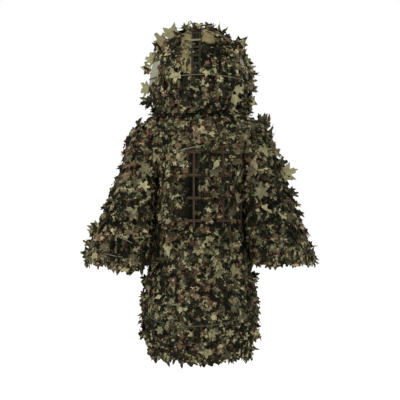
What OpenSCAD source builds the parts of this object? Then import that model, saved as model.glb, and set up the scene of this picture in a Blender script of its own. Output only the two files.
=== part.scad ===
// Hooded leaf suit: a thigh-length mesh smock with a wide hood, open sleeves and sewn leaf trim.
// The front of the wearer faces -Y, the wearer's left is +X, and the origin is the base of the neck.

/* [Body] */
// Drop from the base of the neck to the cut edge of the hem
body_length = 935; // [900:5:980]
// Half width of the body where it is fullest, below the waist
hip_half_width = 214; // [208:1:220]
// Half width of the body at the bottom of the armholes
chest_half_width = 161; // [152:1:163]
// Half width of the body across the shoulders
shoulder_half_width = 222; // [218:1:224]
// Distance from the middle of the body to its back at the shoulder blades
back_depth = 155; // [145:1:165]
// Distance from the middle of the body to the straight front closure
front_depth = 132; // [126:1:138]
// Half width of the neck opening
neck_half_width = 150; // [146:1:154]
// Half depth of the neck opening
neck_half_depth = 106; // [102:1:108]
// Thickness of a fabric panel with its backing
cloth_thickness = 2.4; // [1.6:0.1:2.8]

/* [Hood] */
// Height of the crown above the base of the neck
hood_height = 325; // [310:1:340]
// Half width of the hood at its widest
hood_half_width = 196; // [188:1:204]
// Half depth of the hood at its deepest
hood_half_depth = 160; // [152:1:166]
// Half width of the face opening, as an angle seen from the middle of the hood
face_half_angle = 52; // [44:1:54]

/* [Sleeves] */
// Drop from the base of the neck to the cut edge of the cuff
sleeve_drop = 575; // [560:5:590]
// Half width of the open cuff
cuff_half_width = 120; // [114:1:122]
// Half depth of the open cuff
cuff_half_depth = 108; // [100:1:116]

/* [Closure] */
// Length of the front zip between its stops
zip_length = 480; // [420:5:490]
// Width of each woven zip tape
zip_tape_width = 14; // [12:0.5:16]
// Length of the slider's pull tab
pull_length = 34; // [26:1:40]

/* [Trim] */
// Length of one sewn leaf from base to tip
leaf_length = 62; // [50:1:68]
// Thickness of a leaf
leaf_thickness = 1.2; // [0.8:0.1:1.6]
// Width of the foliage ladder tapes
ladder_width = 8; // [6:1:12]
// Diameter of the thin craft cords
cord_diameter = 3.6; // [3:0.1:3.9]

/* [Hidden] */

// Heights of the body's seams, from the base of the neck
neck_z = -8;
shoulder_z = -45;
yoke_z = -150;
underarm_z = -250;
waist_z = -560;
hem_z = -body_length;

// Angles round the body, from the middle of the back towards the wearer's left
back_seam = 40;
side_seam = 90;
front_seam = 140;
front_edge = 177;
armhole_reach = 32;
seam_gap = 0.8;

// Height of the tapes round the hem and cuffs
band_height = 24;

// Offsets from the panels' inner face
tape_from = cloth_thickness + 1;
tape_to = tape_from + 1.2;
rung_from = tape_to + 1;
rung_to = rung_from + 1;
leaf_offset = 9;

// Zip and slider, measured forward of the front panels
zip_top_z = -58;
zip_face = front_depth + cloth_thickness + 0.6;
tape_thickness = 0.8;
coil_half_width = 3.2;
coil_height = 2.2;
slider_length = 16;
slider_half_width = 6.5;
slider_wall = 2;
slider_clearance = 0.5;
pin_radius = 1;
pin_forward = 6;
pull_half_width = 4.5;
pull_thickness = 1.6;

probe = 0.05;
green = "darkolivegreen";
dark = "#2f3322";
brown = "#6b5040";
pale = "#8f9077";

function lerp(a, b, t) = a + (b - a) * t;
function steps(a, b, count) = [for (i = [0 : count]) lerp(a, b, i / count)];
function unit(v) = v / norm(v);

// ---- surfaces: each takes an angle and a height and gives a point ----

body_half_widths = [
    [hem_z - 60, hip_half_width - 60],
    [hem_z, hip_half_width - 38],
    [-880, hip_half_width - 13],
    [-830, hip_half_width - 2],
    [-750, hip_half_width],
    [-650, lerp(chest_half_width, hip_half_width, 0.72)],
    [waist_z, lerp(chest_half_width, hip_half_width, 0.44)],
    [-450, lerp(chest_half_width, hip_half_width, 0.2)],
    [-330, chest_half_width],
    [underarm_z, chest_half_width + 1],
    [-200, lerp(chest_half_width, shoulder_half_width, 0.3)],
    [yoke_z, lerp(chest_half_width, shoulder_half_width, 0.72)],
    [-100, shoulder_half_width],
    [-60, shoulder_half_width - 5],
    [shoulder_z, shoulder_half_width - 12],
    [-20, lerp(neck_half_width, shoulder_half_width, 0.5)],
    [neck_z, neck_half_width]
];
back_depths = [
    [hem_z - 60, back_depth - 22],
    [hem_z, back_depth - 12],
    [-880, back_depth - 2],
    [-800, back_depth + 3],
    [-640, back_depth - 6],
    [-480, back_depth - 16],
    [-300, back_depth - 5],
    [-200, back_depth],
    [-100, back_depth - 8],
    [shoulder_z, lerp(neck_half_depth, back_depth, 0.46)],
    [neck_z, neck_half_depth]
];
front_depths = [
    [hem_z - 60, front_depth - 6],
    [hem_z, front_depth],
    [-880, front_depth + 6],
    [-800, front_depth + 8],
    [-600, front_depth],
    [-56, front_depth],
    [shoulder_z, front_depth - 4],
    [neck_z, neck_half_depth]
];

body = function(angle, z)
    let (
        depth = cos(angle) > 0 ? lookup(z, back_depths) : lookup(z, front_depths)
    )
    [lookup(z, body_half_widths) * sin(angle), depth * cos(angle), z];

// Angle of the armhole's edge, back or front, at a height
function armhole_angle(z) =
    z >= shoulder_z || z <= underarm_z
        ? side_seam
        : side_seam - armhole_reach * sin(180 * (z - underarm_z) / (shoulder_z - underarm_z));

// The body panels beside the armhole, with t from 0 at the inner seam to 1 at the outer edge
back_beside_arm = function(t, z) body(lerp(back_seam + seam_gap, armhole_angle(z) - seam_gap, t), z);
front_beside_arm = function(t, z)
    body(lerp(180 - armhole_angle(z) + seam_gap, front_seam - seam_gap, t), z);

// The hood: height runs from 0 at the neck edge to 1 at the crown
hood_heights = [
    [0, 8], [0.15, 0.17 * hood_height], [0.3, 0.32 * hood_height], [0.45, 0.49 * hood_height],
    [0.6, 0.65 * hood_height], [0.72, 0.77 * hood_height], [0.83, 0.875 * hood_height],
    [0.92, 0.955 * hood_height], [1, hood_height]
];
hood_half_widths = [
    [0, hood_half_width - 25], [0.15, hood_half_width - 8], [0.3, hood_half_width],
    [0.45, hood_half_width - 6], [0.6, hood_half_width - 24], [0.72, 0.745 * hood_half_width],
    [0.83, 0.55 * hood_half_width], [0.92, 0.33 * hood_half_width], [1, 2]
];
hood_half_depths = [
    [0, 0.74 * hood_half_depth], [0.15, 0.88 * hood_half_depth], [0.3, 0.97 * hood_half_depth],
    [0.45, hood_half_depth], [0.6, 0.94 * hood_half_depth], [0.72, 0.8 * hood_half_depth],
    [0.83, 0.6 * hood_half_depth], [0.92, 0.37 * hood_half_depth], [1, 2]
];
hood_back_seam = 52;
hood_window_edge = 84;
chin_top = 0.12;
window_bottom = 0.22;
crown_bottom = 0.58;
brow_bottom = 0.68;
chin_gap = 3;

hood = function(angle, h)
    [lookup(h, hood_half_widths) * sin(angle),
     lookup(h, hood_half_depths) * cos(angle),
     lookup(h, hood_heights)];

// Half angle of the face opening at a height
function face_angle(h) =
    chin_gap + (face_half_angle - chin_gap) * sin(180 * min(1, max(0, (h - 0.04) / 0.8)));

left_cheek_face = function(t, h)
    hood(lerp(hood_window_edge + seam_gap, 180 - face_angle(h), t), h);

// The left sleeve: angle 0 is outward, 90 is towards the back and 180 is towards the body
sleeve_centres = [
    [-sleeve_drop - 60, 315], [-sleeve_drop, 313], [-485, 298], [-385, 272], [-320, 257],
    [-266, 246], [underarm_z, 240], [-225, 230], [-200, 215], [yoke_z, 184], [-100, 211],
    [-80, 218], [-60, 222], [-50, 218]
];
sleeve_half_widths = [
    [-sleeve_drop - 60, cuff_half_width + 1], [-sleeve_drop, cuff_half_width],
    [-485, cuff_half_width - 7], [-385, cuff_half_width - 23], [-320, cuff_half_width - 32],
    [-266, cuff_half_width - 43], [underarm_z, cuff_half_width - 48], [-225, 74], [-200, 80],
    [yoke_z, 101], [-100, 61], [-80, 42], [-60, 23], [-50, 15]
];
sleeve_half_depths = [
    [-sleeve_drop - 60, cuff_half_depth], [-sleeve_drop, cuff_half_depth],
    [-385, cuff_half_depth - 10], [underarm_z, cuff_half_depth - 15], [-200, 92],
    [yoke_z, 86], [-100, 63], [-80, 46], [-60, 25], [-50, 14]
];
sleeve_reaches = [
    [-sleeve_drop - 60, 180], [underarm_z - 12, 180], [underarm_z, 156], [-225, 140],
    [-200, 123], [yoke_z, 92], [-50, 90]
];
sleeve_top_z = -52;
sleeve_outer_seam = 45;
sleeve_inner_seam = 135;

sleeve = function(angle, z)
    [lookup(z, sleeve_centres) + lookup(z, sleeve_half_widths) * cos(angle),
     lookup(z, sleeve_half_depths) * sin(angle),
     z];

// The sleeve's back and front panels end at the armhole above the underarm
function sleeve_reach(z) = min(sleeve_inner_seam, lookup(z, sleeve_reaches)) - seam_gap;
sleeve_back_face = function(t, z) sleeve(lerp(sleeve_outer_seam + seam_gap, sleeve_reach(z), t), z);
sleeve_front_face = function(t, z)
    sleeve(lerp(-sleeve_reach(z), -sleeve_outer_seam - seam_gap, t), z);

// ---- building blocks ----

// Unit normal of a surface, turned away from the wearer by side
function outward(face, u, v, side) =
    side * unit(cross(
        face(u, v + probe) - face(u, v - probe),
        face(u + probe, v) - face(u - probe, v)));

function raised(face, u, v, d, side = 1) = face(u, v) + d * outward(face, u, v, side);

// Four-sided faces as pairs of triangles
function halved(quads) = [for (q = quads) each [[q[0], q[1], q[2]], [q[0], q[2], q[3]]]];

// A closed sheet between two offsets of a surface
module sheet(face, us, vs, from = 0, to = cloth_thickness, side = 1) {
    nu = len(us);
    nv = len(vs);
    grid = nu * nv;
    points = [
        for (d = side > 0 ? [from, to] : [to, from])
            for (v = vs)
                for (u = us)
                    raised(face, u, v, d, side)
    ];
    inner = [
        for (j = [0 : nv - 2])
            for (i = [0 : nu - 2])
                let (k = i + nu * j)
                [k, k + nu, k + nu + 1, k + 1]
    ];
    outer = [for (f = inner) [f[0], f[3], f[2], f[1]] + [grid, grid, grid, grid]];
    ends = [
        for (i = [0 : nu - 2])
            let (low = i, high = i + nu * (nv - 1))
            each [[low + grid + 1, low + grid, low, low + 1],
                  [high + grid, high + grid + 1, high + 1, high]]
    ];
    edges = [
        for (j = [0 : nv - 2])
            let (near = nu * j, far = nu * j + nu - 1)
            each [[near + grid, near + grid + nu, near + nu, near],
                  [far + grid + nu, far + grid, far, far + nu]]
    ];
    polyhedron(points, halved(concat(inner, outer, ends, edges)));
}

// A round cord swept along points, none of which may run along z for long
module cord(points, diameter, sides = 8) {
    last = len(points) - 1;
    rings = [
        for (i = [0 : last])
            let (
                along = unit(points[min(i + 1, last)] - points[max(i - 1, 0)]),
                across = unit(cross(along, [0, 0, 1])),
                up = cross(across, along)
            )
            for (k = [0 : sides - 1])
                let (a = 360 * k / sides)
                points[i] + diameter / 2 * (cos(a) * across + sin(a) * up)
    ];
    walls = [
        for (i = [0 : last - 1])
            for (k = [0 : sides - 1])
                let (n = (k + 1) % sides)
                [i * sides + k, i * sides + n, (i + 1) * sides + n, (i + 1) * sides + k]
    ];
    caps = [
        [for (k = [sides - 1 : -1 : 0]) k],
        [for (k = [0 : sides - 1]) last * sides + k]
    ];
    polyhedron(rings, concat(halved(walls), caps));
}

// Points on a smooth curve through a list of points
function curve(points, parts) = [
    for (i = [0 : len(points) - 2])
        for (k = [0 : parts - 1])
            let (
                t = k / parts,
                a = points[max(i - 1, 0)],
                b = points[i],
                c = points[i + 1],
                d = points[min(i + 2, len(points) - 1)]
            )
            0.5 * (2 * b + (c - a) * t + (2 * a - 5 * b + 4 * c - d) * t * t
                + (3 * b - 3 * c + d - a) * t * t * t),
    points[len(points) - 1]
];

// One leaf in the XY plane with its base at the origin and its tip along +Y
leaf_tips = [[0, 1], [52, 0.66], [96, 0.5]];
leaf_notches = [[24, 0.52], [78, 0.3], [150, 0.16]];
function leaf_side(s) = [
    for (i = [0 : 2])
        each [leaf_point(leaf_tips[i], s), leaf_point(leaf_notches[i], s)]
];
function leaf_point(polar, s) = [s * polar[1] * sin(polar[0]), 0.34 + 0.66 * polar[1] * cos(polar[0])];
module leaf(length) {
    right = leaf_side(1);
    left = leaf_side(-1);
    outline = concat(right, [[0, 0]], [for (i = [len(left) - 1 : -1 : 1]) left[i]]);
    linear_extrude(leaf_thickness)
        polygon([for (p = outline) length * p]);
}

// Lays a child on a surface, its +Y down the surface, spun about the normal and lifted by tilt
module on_face(face, u, v, d, spin, tilt, side = 1) {
    n = outward(face, u, v, side);
    down = unit(face(u, v - probe) - face(u, v + probe));
    across = cross(down, n);
    at = face(u, v) + d * n;
    multmatrix([
        [across[0], down[0], n[0], at[0]],
        [across[1], down[1], n[1], at[1]],
        [across[2], down[2], n[2], at[2]],
        [0, 0, 0, 1]
    ])
        rotate([0, 0, spin])
            rotate([tilt, 0, 0])
                children();
}

module mirrored_if(flip) {
    if (flip)
        mirror([1, 0, 0]) children();
    else
        children();
}

// ---- body panels ----

yoke_levels = [yoke_z + seam_gap, -120, -90, -65, shoulder_z, -30, -18, neck_z];
middle_levels = concat(steps(waist_z, -350, 4), steps(-300, yoke_z, 5));
arm_levels = concat(steps(waist_z, -300, 5), steps(underarm_z, shoulder_z - 5, 8));
skirt_levels = steps(hem_z, waist_z - 3, 6);
shoulder_levels = [shoulder_z + 1, -30, -18, neck_z];
front_levels = concat(steps(waist_z, -120, 6), [-90, -60, shoulder_z, -30, -18, neck_z]);

module back_yoke() {
    color(green)
        sheet(body, steps(-back_seam, back_seam, 8), yoke_levels);
}

module back_center() {
    color(green)
        sheet(body, steps(-back_seam, back_seam, 8), [for (z = middle_levels) z - 1]);
}

module back_skirt() {
    color(green)
        sheet(body, steps(-back_seam, back_seam, 8), skirt_levels);
}

module side_shoulder(flip) {
    mirrored_if(flip) color(green)
        sheet(body, steps(back_seam + seam_gap, front_seam - seam_gap, 10), shoulder_levels);
}

module back_side(flip) {
    mirrored_if(flip) color(green)
        sheet(back_beside_arm, steps(0, 1, 5), arm_levels);
}

module front_side(flip) {
    mirrored_if(flip) color(green)
        sheet(front_beside_arm, steps(0, 1, 5), arm_levels);
}

module side_skirt(flip) {
    mirrored_if(flip) color(green)
        sheet(body, steps(back_seam + seam_gap, front_seam - seam_gap, 10), skirt_levels);
}

module half_front(flip) {
    mirrored_if(flip) color(green)
        sheet(body, steps(front_seam, front_edge, 4), front_levels);
}

module front_skirt(flip) {
    mirrored_if(flip) color(green)
        sheet(body, steps(front_seam, front_edge, 4), skirt_levels);
}

// Binding sewn inside the neck edge, open at the front closure
module neck_band() {
    color(dark)
        sheet(body, steps(-front_edge, front_edge, 36), [-24, -16, neck_z - 1], -4.2, -1.8);
}

// Tape sewn round the outside of the hem, open at the front closure
module hem_band() {
    color(brown)
        sheet(body, steps(-front_edge, front_edge, 36), [hem_z + 1, hem_z + 1 + band_height], tape_from, tape_to);
}

// Flat woven loop that hangs inside the back of the neck
module hanger_loop() {
    loop_width = 46;
    loop_drop = 20;
    web = 3;
    color(dark)
        translate([0, neck_half_depth - 4.5, -30])
            rotate([90, 0, 0])
                linear_extrude(1.6)
                    difference() {
                        square([loop_width, loop_drop], center = true);
                        square([loop_width - 2 * web, loop_drop - 2 * web], center = true);
                    }
}

// ---- foliage ladders and cords on the back ----

ladder_lines = [140, 22, -86, -150];
ladder_top_z = -135;
ladder_bottom_z = -440;
rung_pitch = 85;
rung_height = 10;
rung_half_length = 26;

// Body surface addressed by distance across the back in place of the angle
across_back = function(x, z) body(asin(x / lookup(z, body_half_widths)), z);

module back_ladder_tapes() {
    color(brown)
        for (x = ladder_lines)
            sheet(across_back, [x - ladder_width / 2, x, x + ladder_width / 2],
                steps(ladder_bottom_z, ladder_top_z, 12), tape_from, tape_to);
}

module back_ladder_rungs() {
    color(brown)
        for (x = [ladder_lines[1], ladder_lines[2]])
            for (z = [ladder_top_z - 20 : -rung_pitch : ladder_bottom_z + 20])
                sheet(across_back, steps(x - rung_half_length, x + rung_half_length, 6),
                    [z - rung_height, z], rung_from, rung_to);
}

// Short cords sewn to the back, each from [x, z] to [x, z]
craft_cord_height = 12;
craft_cord_runs = [
    [[-20, -134], [86, -156]], [[79, -123], [96, -62]], [[19, -604], [85, -618]],
    [[-22, -880], [73, -878]], [[-190, -893], [-100, -893]], [[144, -857], [179, -835]]
];
module craft_cords() {
    parts = 8;
    color(pale)
        for (run = craft_cord_runs)
            cord([for (i = [0 : parts])
                let (at = lerp(run[0], run[1], i / parts))
                raised(across_back, at[0], at[1], craft_cord_height)], cord_diameter);
}

// Slack cord across the lower back, sewn down at both ends
lower_cord_route = [
    [203, 64, -766], [195, 80, -775], [180, 99, -785], [158, 121, -793], [134, 137, -799],
    [106, 151, -803], [78, 161, -805], [50, 168, -806], [20, 172, -806], [-10, 172, -805],
    [-40, 169, -803], [-70, 163, -799], [-98, 153, -795], [-126, 139, -789], [-151, 123, -781],
    [-173, 103, -772], [-191, 81, -762], [-202, 65, -754]
];
module lower_back_cord() {
    color(pale)
        cord(curve(lower_cord_route, 4), cord_diameter);
}

// Small sewn patches under the ends of the slack cord
anchor_half_angle = 3;
anchor_half_height = 9;
module cord_anchors() {
    ends = [lower_cord_route[0], lower_cord_route[len(lower_cord_route) - 1]];
    color(dark)
        for (end = ends)
            let (angle = atan2(end[0] / lookup(end[2], body_half_widths), end[1] / lookup(end[2], back_depths)))
            sheet(body, steps(angle - anchor_half_angle, angle + anchor_half_angle, 2),
                [end[2] - anchor_half_height, end[2] + anchor_half_height], tape_from, tape_to);
}

// ---- leaf trim ----

golden_angle = 137.508;

// Leaves at heights and angles spread by the golden angle over part of a surface
module scattered(face, u_range, v_range, count, tilt, side = 1) {
    for (i = [0 : count - 1]) {
        along = (i + 0.5) / count;
        turn = (i * golden_angle / 360) % 1;
        on_face(face, lerp(u_range[0], u_range[1], turn), lerp(v_range[0], v_range[1], along),
            leaf_offset, 50 * sin(i * golden_angle), tilt, side)
            leaf(leaf_length);
    }
}

module back_leaves() {
    color(green)
        for (z = [-455, -530, -650])
            for (angle = [-36 : 24 : 36])
                on_face(body, angle + 4 * sin(z + 7 * angle), z, leaf_offset, 10 * sin(3 * z + 11 * angle), 14)
                    leaf(leaf_length);
}

hem_leaf_count = 14;
module hem_leaves() {
    color(green)
        for (i = [0 : hem_leaf_count - 1])
            on_face(body, lerp(-150, 150, i / (hem_leaf_count - 1)), hem_z + 16 + 5 * sin(i * golden_angle),
                tape_to + 2, 6 * sin(i * golden_angle), 4)
                leaf(leaf_length);
}

hood_leaf_count = 16;
module hood_leaves() {
    color(green) {
        scattered(hood, [-120, 120], [0.46, 0.8], hood_leaf_count, 24);
        for (i = [0 : 4])
            on_face(hood, 72 * i + 20, 0.93, leaf_offset - 2, 180, 50)
                leaf(0.9 * leaf_length);
    }
}

module side_sleeve_leaves(flip) {
    mirrored_if(flip) color(green) {
        scattered(sleeve, [-70, 40], [-230, -410], 8, 12, -1);
        for (a = [-108 : 36 : 108])
            on_face(sleeve, a, -sleeve_drop + 16 + 6 * sin(7 * a), tape_to + 2, 6 * sin(5 * a), 2, -1)
                leaf(leaf_length);
    }
}

// ---- front zip ----

// Each tape starts this far from the middle, so that the two coil rows meet over the gap
tape_inset = 1.5;
coil_gap = 0.4;
module side_zip_tape(flip) {
    mirrored_if(flip) color(dark)
        translate([tape_inset, -zip_face - tape_thickness, zip_top_z - zip_length])
            cube([zip_tape_width, tape_thickness, zip_length]);
}

module zip_coil() {
    row_width = coil_half_width - coil_gap;
    color("dimgray")
        for (x = [-coil_half_width, coil_gap])
            translate([x, -zip_face - tape_thickness - coil_height, zip_top_z - zip_length])
                cube([row_width, coil_height, zip_length]);
}

module zip_stops() {
    stop = [4, 2.4, 4];
    stop_inset = 2.4;
    box_height = 8;
    box_half_width = stop_inset + stop[0];
    color("gray") {
        for (x = [-stop_inset - stop[0], stop_inset])
            translate([x, -zip_face - tape_thickness - stop[1], zip_top_z + 1])
                cube(stop);
        translate([-box_half_width, -zip_face - tape_thickness - coil_height,
                   zip_top_z - zip_length - box_height - 1])
            cube([2 * box_half_width, coil_height + tape_thickness, box_height]);
    }
}

slider_back = zip_face + tape_thickness + slider_clearance;
slider_inside = zip_face + tape_thickness + coil_height + slider_clearance;
slider_front = slider_inside + slider_wall;
slider_top_z = zip_top_z - 2;
pin_y = -slider_front - pin_forward / 2 - 1.2;
pin_z = slider_top_z - slider_length / 2;
ear_reach = 4;
ear_thickness = 1.6;
ear_height = 4.4;

module zip_slider() {
    color("silver") {
        translate([-slider_half_width, -slider_front, slider_top_z - slider_length])
            cube([2 * slider_half_width, slider_wall, slider_length]);
        for (x = [-slider_half_width, slider_half_width - slider_wall])
            translate([x, -slider_inside, slider_top_z - slider_length])
                cube([slider_wall, slider_inside - slider_back, slider_length]);
        for (x = [-ear_reach, ear_reach - ear_thickness])
            translate([x, -slider_front - pin_forward, pin_z - ear_height / 2])
                cube([ear_thickness, pin_forward, ear_height]);
        translate([-ear_reach, pin_y, pin_z])
            rotate([0, 90, 0])
                cylinder(r = pin_radius, h = 2 * ear_reach, $fn = 32);
    }
}

module zip_pull() {
    eye_wall = 1.4;
    eye_width = 3.8;
    eye_clearance = 0.3;
    neck_drop = 6;
    grip_hole_radius = 2.2;
    grip_hole_rise = 6;
    color("silver")
        translate([0, pin_y, pin_z])
            difference() {
                union() {
                    translate([-eye_width / 2, 0, 0])
                        rotate([0, 90, 0])
                            cylinder(r = pin_radius + eye_wall, h = eye_width, $fn = 32);
                    translate([-eye_width / 2, -pull_thickness / 2, -neck_drop - 1])
                        cube([eye_width, pull_thickness, neck_drop + 1]);
                    translate([-pull_half_width, -pull_thickness / 2, -pull_length])
                        cube([2 * pull_half_width, pull_thickness, pull_length - neck_drop]);
                }
                translate([-eye_width, 0, 0])
                    rotate([0, 90, 0])
                        cylinder(r = pin_radius + eye_clearance, h = 2 * eye_width, $fn = 32);
                translate([0, pull_thickness, -pull_length + grip_hole_rise])
                    rotate([90, 0, 0])
                        cylinder(r = grip_hole_radius, h = 2 * pull_thickness, $fn = 32);
            }
}

// ---- hood panels ----

module hood_back() {
    color(green)
        sheet(hood, steps(-hood_back_seam, hood_back_seam, 10), steps(0, crown_bottom - 0.01, 6));
}

module side_hood_lower(flip) {
    mirrored_if(flip) color(green)
        sheet(hood, steps(hood_back_seam + seam_gap, hood_window_edge - seam_gap, 4),
            steps(0, window_bottom - 0.01, 3));
}

module side_hood_window(flip) {
    mirrored_if(flip) color(pale)
        sheet(hood, steps(hood_back_seam + seam_gap, hood_window_edge - seam_gap, 4),
            steps(window_bottom, crown_bottom - 0.01, 4));
}

module side_cheek(flip) {
    mirrored_if(flip) color(green)
        sheet(left_cheek_face, steps(0, 1, 5), steps(chin_top, brow_bottom - 0.01, 7));
}

module side_chin(flip) {
    mirrored_if(flip) color(green)
        sheet(left_cheek_face, steps(0, 1, 8), [0, 0.055, chin_top - 0.01]);
}

module hood_brow() {
    color(green)
        sheet(hood, steps(hood_window_edge + seam_gap, 360 - hood_window_edge - seam_gap, 18),
            steps(brow_bottom, 0.8, 2));
}

// The crown steps forward over the brow panel at the front
crown_face = function(angle, t)
    hood(angle, lerp(lerp(crown_bottom, 0.81, crown_lift(angle)), 1, t));
function crown_lift(angle) = min(1, max(0, (abs(angle) - hood_window_edge + 4) / 4));
module hood_crown() {
    color(green)
        sheet(crown_face, concat([-178], steps(-150, -90, 4), steps(-84, 84, 14), steps(90, 150, 4), [178]),
            [0, 0.2, 0.4, 0.6, 0.8, 0.9, 0.97]);
}

hood_ladder_x = 14;
hood_ladder_half_width = 17;
hood_tape_half_width = 4;
across_hood = function(x, h) hood(asin(x / lookup(h, hood_half_widths)), h);
module hood_ladder() {
    color(dark) {
        for (s = [-1, 1])
            let (middle = hood_ladder_x + s * (hood_ladder_half_width - hood_tape_half_width))
            sheet(across_hood, [middle - hood_tape_half_width, middle + hood_tape_half_width],
                steps(0.44, 0.85, 8), tape_from + 0.3, tape_to);
        for (h = [0.46 : 0.09 : 0.84])
            sheet(across_hood, steps(hood_ladder_x - hood_ladder_half_width,
                hood_ladder_x + hood_ladder_half_width, 3), [h, h + 0.03], rung_from, rung_to);
    }
}

// One cord arches across the back of the hood and one crosses the left window
module hood_cord() {
    parts = 14;
    color(pale) {
        cord([for (i = [0 : parts])
            let (x = lerp(-150, 96, i / parts))
            raised(across_hood, x, 0.368 - 0.000002 * (x + 10) * (x + 10), craft_cord_height)],
            cord_diameter);
        cord([for (i = [0 : 6])
            raised(hood, lerp(50, 84, i / 6), 0.36, cloth_thickness + cord_diameter / 2 + 0.3)],
            cord_diameter);
    }
}

// ---- sleeve panels ----

sleeve_levels = concat(steps(-sleeve_drop, -300, 5), steps(underarm_z, -110, 5), [-90, -75, -60, sleeve_top_z]);
inner_levels = steps(-sleeve_drop, underarm_z - 14, 6);

module side_sleeve_outer(flip) {
    mirrored_if(flip) color(green)
        sheet(sleeve, steps(-sleeve_outer_seam, sleeve_outer_seam, 6), sleeve_levels, side = -1);
}

module side_sleeve_back(flip) {
    mirrored_if(flip) color(green)
        sheet(sleeve_back_face, steps(0, 1, 6), sleeve_levels, side = -1);
}

module side_sleeve_front(flip) {
    mirrored_if(flip) color(green)
        sheet(sleeve_front_face, steps(0, 1, 6), sleeve_levels, side = -1);
}

module side_sleeve_inner(flip) {
    mirrored_if(flip) color(green)
        sheet(sleeve, steps(sleeve_inner_seam, 360 - sleeve_inner_seam, 6), inner_levels, side = -1);
}

module side_cuff(flip) {
    mirrored_if(flip) color(brown)
        sheet(sleeve, steps(-150, 150, 24), [-sleeve_drop + 1, -sleeve_drop + 1 + band_height],
            tape_from, tape_to, side = -1);
}

// Two cords across the back of the left sleeve, each from [angle, z] to [angle, z]
sleeve_cord_runs = [[[77, -466], [113, -502]], [[62, -540], [100, -554]]];
module left_sleeve_cord() {
    parts = 8;
    color(pale)
        for (run = sleeve_cord_runs)
            cord([for (i = [0 : parts])
                let (at = lerp(run[0], run[1], i / parts))
                raised(sleeve, at[0], at[1], craft_cord_height, -1)], cord_diameter);
}

back_yoke();
back_center();
back_skirt();
side_shoulder(false);  // left_shoulder
side_shoulder(true);  // right_shoulder
back_side(false);  // left_back_side
back_side(true);  // right_back_side
front_side(false);  // left_front_side
front_side(true);  // right_front_side
half_front(false);  // left_front
half_front(true);  // right_front
side_skirt(false);  // left_skirt
side_skirt(true);  // right_skirt
front_skirt(false);  // left_front_skirt
front_skirt(true);  // right_front_skirt
neck_band();
hem_band();
hanger_loop();
back_ladder_tapes();
back_ladder_rungs();
craft_cords();
lower_back_cord();
cord_anchors();
back_leaves();
hem_leaves();
side_zip_tape(false);  // left_zip_tape
side_zip_tape(true);  // right_zip_tape
zip_coil();
zip_stops();
zip_slider();
zip_pull();
hood_back();
side_hood_lower(false);  // left_hood_lower
side_hood_lower(true);  // right_hood_lower
side_hood_window(false);  // left_hood_window
side_hood_window(true);  // right_hood_window
side_cheek(false);  // left_cheek
side_cheek(true);  // right_cheek
side_chin(false);  // left_chin
side_chin(true);  // right_chin
hood_brow();
hood_crown();
hood_ladder();
hood_cord();
hood_leaves();
side_sleeve_outer(false);  // left_sleeve_outer
side_sleeve_back(false);  // left_sleeve_back
side_sleeve_front(false);  // left_sleeve_front
side_sleeve_inner(false);  // left_sleeve_inner
side_cuff(false);  // left_cuff
side_sleeve_leaves(false);  // left_sleeve_leaves
left_sleeve_cord();
side_sleeve_outer(true);  // right_sleeve_outer
side_sleeve_back(true);  // right_sleeve_back
side_sleeve_front(true);  // right_sleeve_front
side_sleeve_inner(true);  // right_sleeve_inner
side_cuff(true);  // right_cuff
side_sleeve_leaves(true);  // right_sleeve_leaves
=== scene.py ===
"""Looks of the hooded leaf suit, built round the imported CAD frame.

Metres, +Z up, the wearer's back is +Y and the wearer's left is +X, as in the CAD model.
"""
import math

import bpy
import numpy as np
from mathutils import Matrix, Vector


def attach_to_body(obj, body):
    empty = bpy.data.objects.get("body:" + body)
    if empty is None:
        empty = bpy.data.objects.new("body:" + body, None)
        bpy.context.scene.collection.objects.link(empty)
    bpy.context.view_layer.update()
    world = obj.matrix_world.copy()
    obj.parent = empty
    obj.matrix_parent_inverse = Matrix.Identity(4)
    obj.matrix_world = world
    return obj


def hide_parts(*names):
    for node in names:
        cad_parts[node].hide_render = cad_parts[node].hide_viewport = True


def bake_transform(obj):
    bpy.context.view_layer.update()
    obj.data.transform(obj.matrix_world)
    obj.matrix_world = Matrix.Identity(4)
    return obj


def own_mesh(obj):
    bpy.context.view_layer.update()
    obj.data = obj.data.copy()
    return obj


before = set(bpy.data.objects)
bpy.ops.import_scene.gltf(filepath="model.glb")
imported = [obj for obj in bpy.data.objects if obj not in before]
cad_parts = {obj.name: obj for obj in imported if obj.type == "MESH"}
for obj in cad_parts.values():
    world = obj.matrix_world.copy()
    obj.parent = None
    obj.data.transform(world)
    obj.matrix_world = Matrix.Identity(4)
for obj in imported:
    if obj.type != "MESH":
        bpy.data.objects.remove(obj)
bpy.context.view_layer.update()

# ---------------------------------------------------------------- camera, floor and light

VIEW_DISTANCE = 4.6
VIEW_WIDTH = 1.54
VIEW_CENTRE_Z = -0.338
SENSOR_MM = 36
FLOOR_Z = -1.58
FLOOR_SIZE = 60
LIGHT_SIZE = 1.4
BACK_LIGHT = (1.6, 3.0, 1.9)
FRONT_LIGHT = (-1.6, -3.0, 1.9)


def link(name, data):
    piece = bpy.data.objects.new(name, data)
    bpy.context.collection.objects.link(piece)
    return piece


def make_camera():
    data = bpy.data.cameras.new("camera")
    data.sensor_width = SENSOR_MM
    data.lens = SENSOR_MM * VIEW_DISTANCE / VIEW_WIDTH
    camera = link("camera", data)
    camera.location = (0, VIEW_DISTANCE, VIEW_CENTRE_Z)
    camera.rotation_euler = (math.radians(90), 0, math.radians(180))
    bpy.context.scene.camera = camera


def add_area_light(name, place, power):
    data = bpy.data.lights.new(name, "AREA")
    data.size = LIGHT_SIZE
    data.energy = power
    light = link(name, data)
    light.location = place
    aim = Vector((0, 0, VIEW_CENTRE_Z)) - Vector(place)
    light.rotation_euler = aim.to_track_quat("-Z", "Y").to_euler()


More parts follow.
